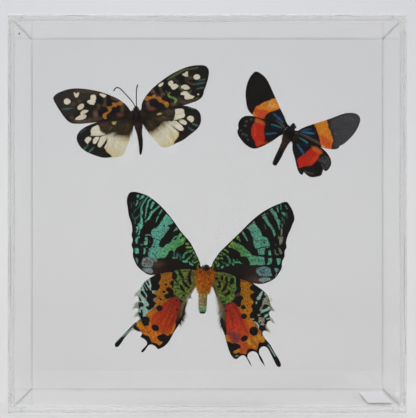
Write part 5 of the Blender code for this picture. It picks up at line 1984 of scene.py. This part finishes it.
# %% Fringes
FRINGES = {
    "sunset_moth_fringe_left": """
hairs 420 0 0.5 from 196.6,283 192.4,289.6 189,295.6 186.6,301 to 195.2,286 191.2,293 187.8,299.4 185.2,305
hairs 420 0.7 1 from 187,300 185,305.4 183.6,311 182,316 179.6,321
 to 186,304.4 184.8,310 184,315.4 182,321 178.8,327
hairs 150 0.85 1 from 184,307 183.6,312 182,317 180,322 to 186.6,314 186.6,319.4 184.4,324.4 180.6,328
hairs 30 0.9 1 from 189.4,295.6 190,296.8 to 191.2,298.4 191.6,297
hairs 70 0.34 0.46 from 140.4,290 138.4,293 to 134.4,296.6 133.8,296.8
hairs 70 0.34 0.46 from 138,301.6 137.6,304.4 to 131.6,309 131.4,309.2
hairs 50 0.34 0.46 from 138.8,311 137.8,313 to 133.2,317 133.4,317.4
""",
    "sunset_moth_fringe_right": """
hairs 420 0 0.4 from 213,284 216,291.6 219,299.4 220.6,307 222,315
 to 214.4,288 217.4,296.4 219.8,304.6 221.4,312 222.8,321
hairs 260 0.34 0.5 from 217.6,296 219.6,304 220.8,311 221.6,318 to 215,296.6 215.2,304 215.8,313 217.4,323
hairs 130 0.6 0.7 from 217,295 219.4,304 221,314 to 216,297 216.6,306 218.6,319
hairs 320 0.75 1 from 221.6,314 222.6,320 224,327 225.4,332 to 222.2,320 223.4,326 225.2,333 226.6,336
hairs 160 0.8 1 from 221.4,315 222.4,320 223.4,325 to 218.6,323.4 219.2,327.4 221.4,332
hairs 50 0.34 0.46 from 270.6,306.4 271.4,309 to 274.4,310.4 274.4,311
hairs 60 0.34 0.46 from 270.6,317.4 271.2,319.6 to 275.2,324.2 275.2,324.6
hairs 60 0.34 0.46 from 266.2,326.6 267.6,329.4 to 270.6,333.2 270.8,333.4
hairs 40 0.34 0.46 from 269.8,296.8 271.2,299.8 to 271.4,299.4 271.8,301.4
""",
    "spotted_moth_fringe_left": """
hairs 1000 0 1 from 133,123 129,124 123,125 116.6,127 109,127
 to 130.6,137 125,140 118,138.4 111,137 103,136.6
hairs 400 0 0.7 from 134,118 132,121 131.4,124 to 131.6,131.6 128,135.4 123,136.4
""",
    "spotted_moth_fringe_right": """
hairs 1000 0 1 from 144,121.4 148,121 154,119 163,117 to 149,134 157,132.6 164,127.4 174,120.4
hairs 350 0 0.7 from 141.8,120 143.4,123 145,125.4 to 149.6,132 153.6,133 158,130.4
""",
}
FRINGE_COAT = {
    0.0: "#6a6038", 0.25: "#8a7c50", 0.34: "#aca696", 0.5: "#b8b4a6", 0.6: "#6a5734", 0.75: "#3a2c1e",
    1.0: "#1e1711",
}
WING_HAIR_COAT = {0.0: "#382d20", 0.3: "#5e4e38", 0.6: "#3c3226", 1.0: "#564a34"}
FRINGE_THICKNESS = 0.06 * MM
fringe_looks = {
    "sunset_moth": (fur_material("fringe hair", FRINGE_COAT), "sunset_wing"),
    "spotted_moth": (fur_material("wing root hair", WING_HAIR_COAT), "dark_fur"),
}

for name, text in FRINGES.items():
    moth = name.split("_fringe")[0]
    thorax = read(MOTHS[moth][0])[0]
    look, slot = fringe_looks[moth]
    hairs = []
    for count, first, last, roots, tips in locks(text):
        forward = forward_mm(roots, thorax).mean() * MM
        hairs.append(hairs_between(roots, tips, count, HINDWING_Y - forward, first, last))
    dress(coat(name, hairs, FRINGE_THICKNESS), look, slot)

# %% [markdown]
# ## A crumb near the corner
# A dark crumb, perhaps dust or a broken scale, clings to the inside of the front sheet near its upper
# left corner. It is a flattened ball, as flakes lie flat on the plastic. One pixel is a little less
# there than at the moths, because the sheet is nearer to the camera.

# %% Crumb
CRUMB_PIXEL = np.array([19.7, 34.1])
CRUMB_SIZE = (0.38 * MM, 0.06 * MM, 0.62 * MM)
crumb_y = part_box("front_sheet")[1][1] + 1.5 * CRUMB_SIZE[1]
crumb_pixel = CASE_SIDE / FACE_PIXELS * (VIEW_DISTANCE + crumb_y - FRONT_Y) / VIEW_DISTANCE
across, down = (CRUMB_PIXEL - MIDDLE_PIXEL) * crumb_pixel
bpy.ops.object.select_all(action="DESELECT")
crumb_place = (across, crumb_y, CASE_SIDE / 2 - down)
bpy.ops.mesh.primitive_ico_sphere_add(subdivisions=3, radius=1, location=crumb_place)
crumb = bpy.context.object
crumb.name = "crumb"
crumb.scale = CRUMB_SIZE
settle(crumb)
bpy.ops.object.shade_smooth()
dress(crumb, chitin, "dark_fur")

# %% [markdown]
# ## Label
# A small white paper label lies on the bottom sheet near its right end. It is bare. Paper is matt and
# faintly fibrous.

# %% Label paper
label_paper, shader, tree = new_material("white label paper", Roughness=0.85)
place = node(tree, "TexCoord").outputs["Object"]
fibre = node(tree, "TexNoise", {"Vector": place, "Scale": 1500.0, "Detail": 3.0})
colour = {0: fibre, 6: linear("#e4e4e7"), 7: linear("#dadadd")}
colour = node(tree, "Mix", colour, data_type="RGBA")
tree.links.new(colour.outputs[2], shader.inputs["Base Color"])
bump = node(tree, "Bump", {"Height": fibre, "Strength": 0.2, "Distance": 0.02 * MM})
tree.links.new(bump.outputs["Normal"], shader.inputs["Normal"])
cad["label"].data.materials.clear()
cad["label"].data.materials.append(label_paper)
print("material:", label_paper.name)
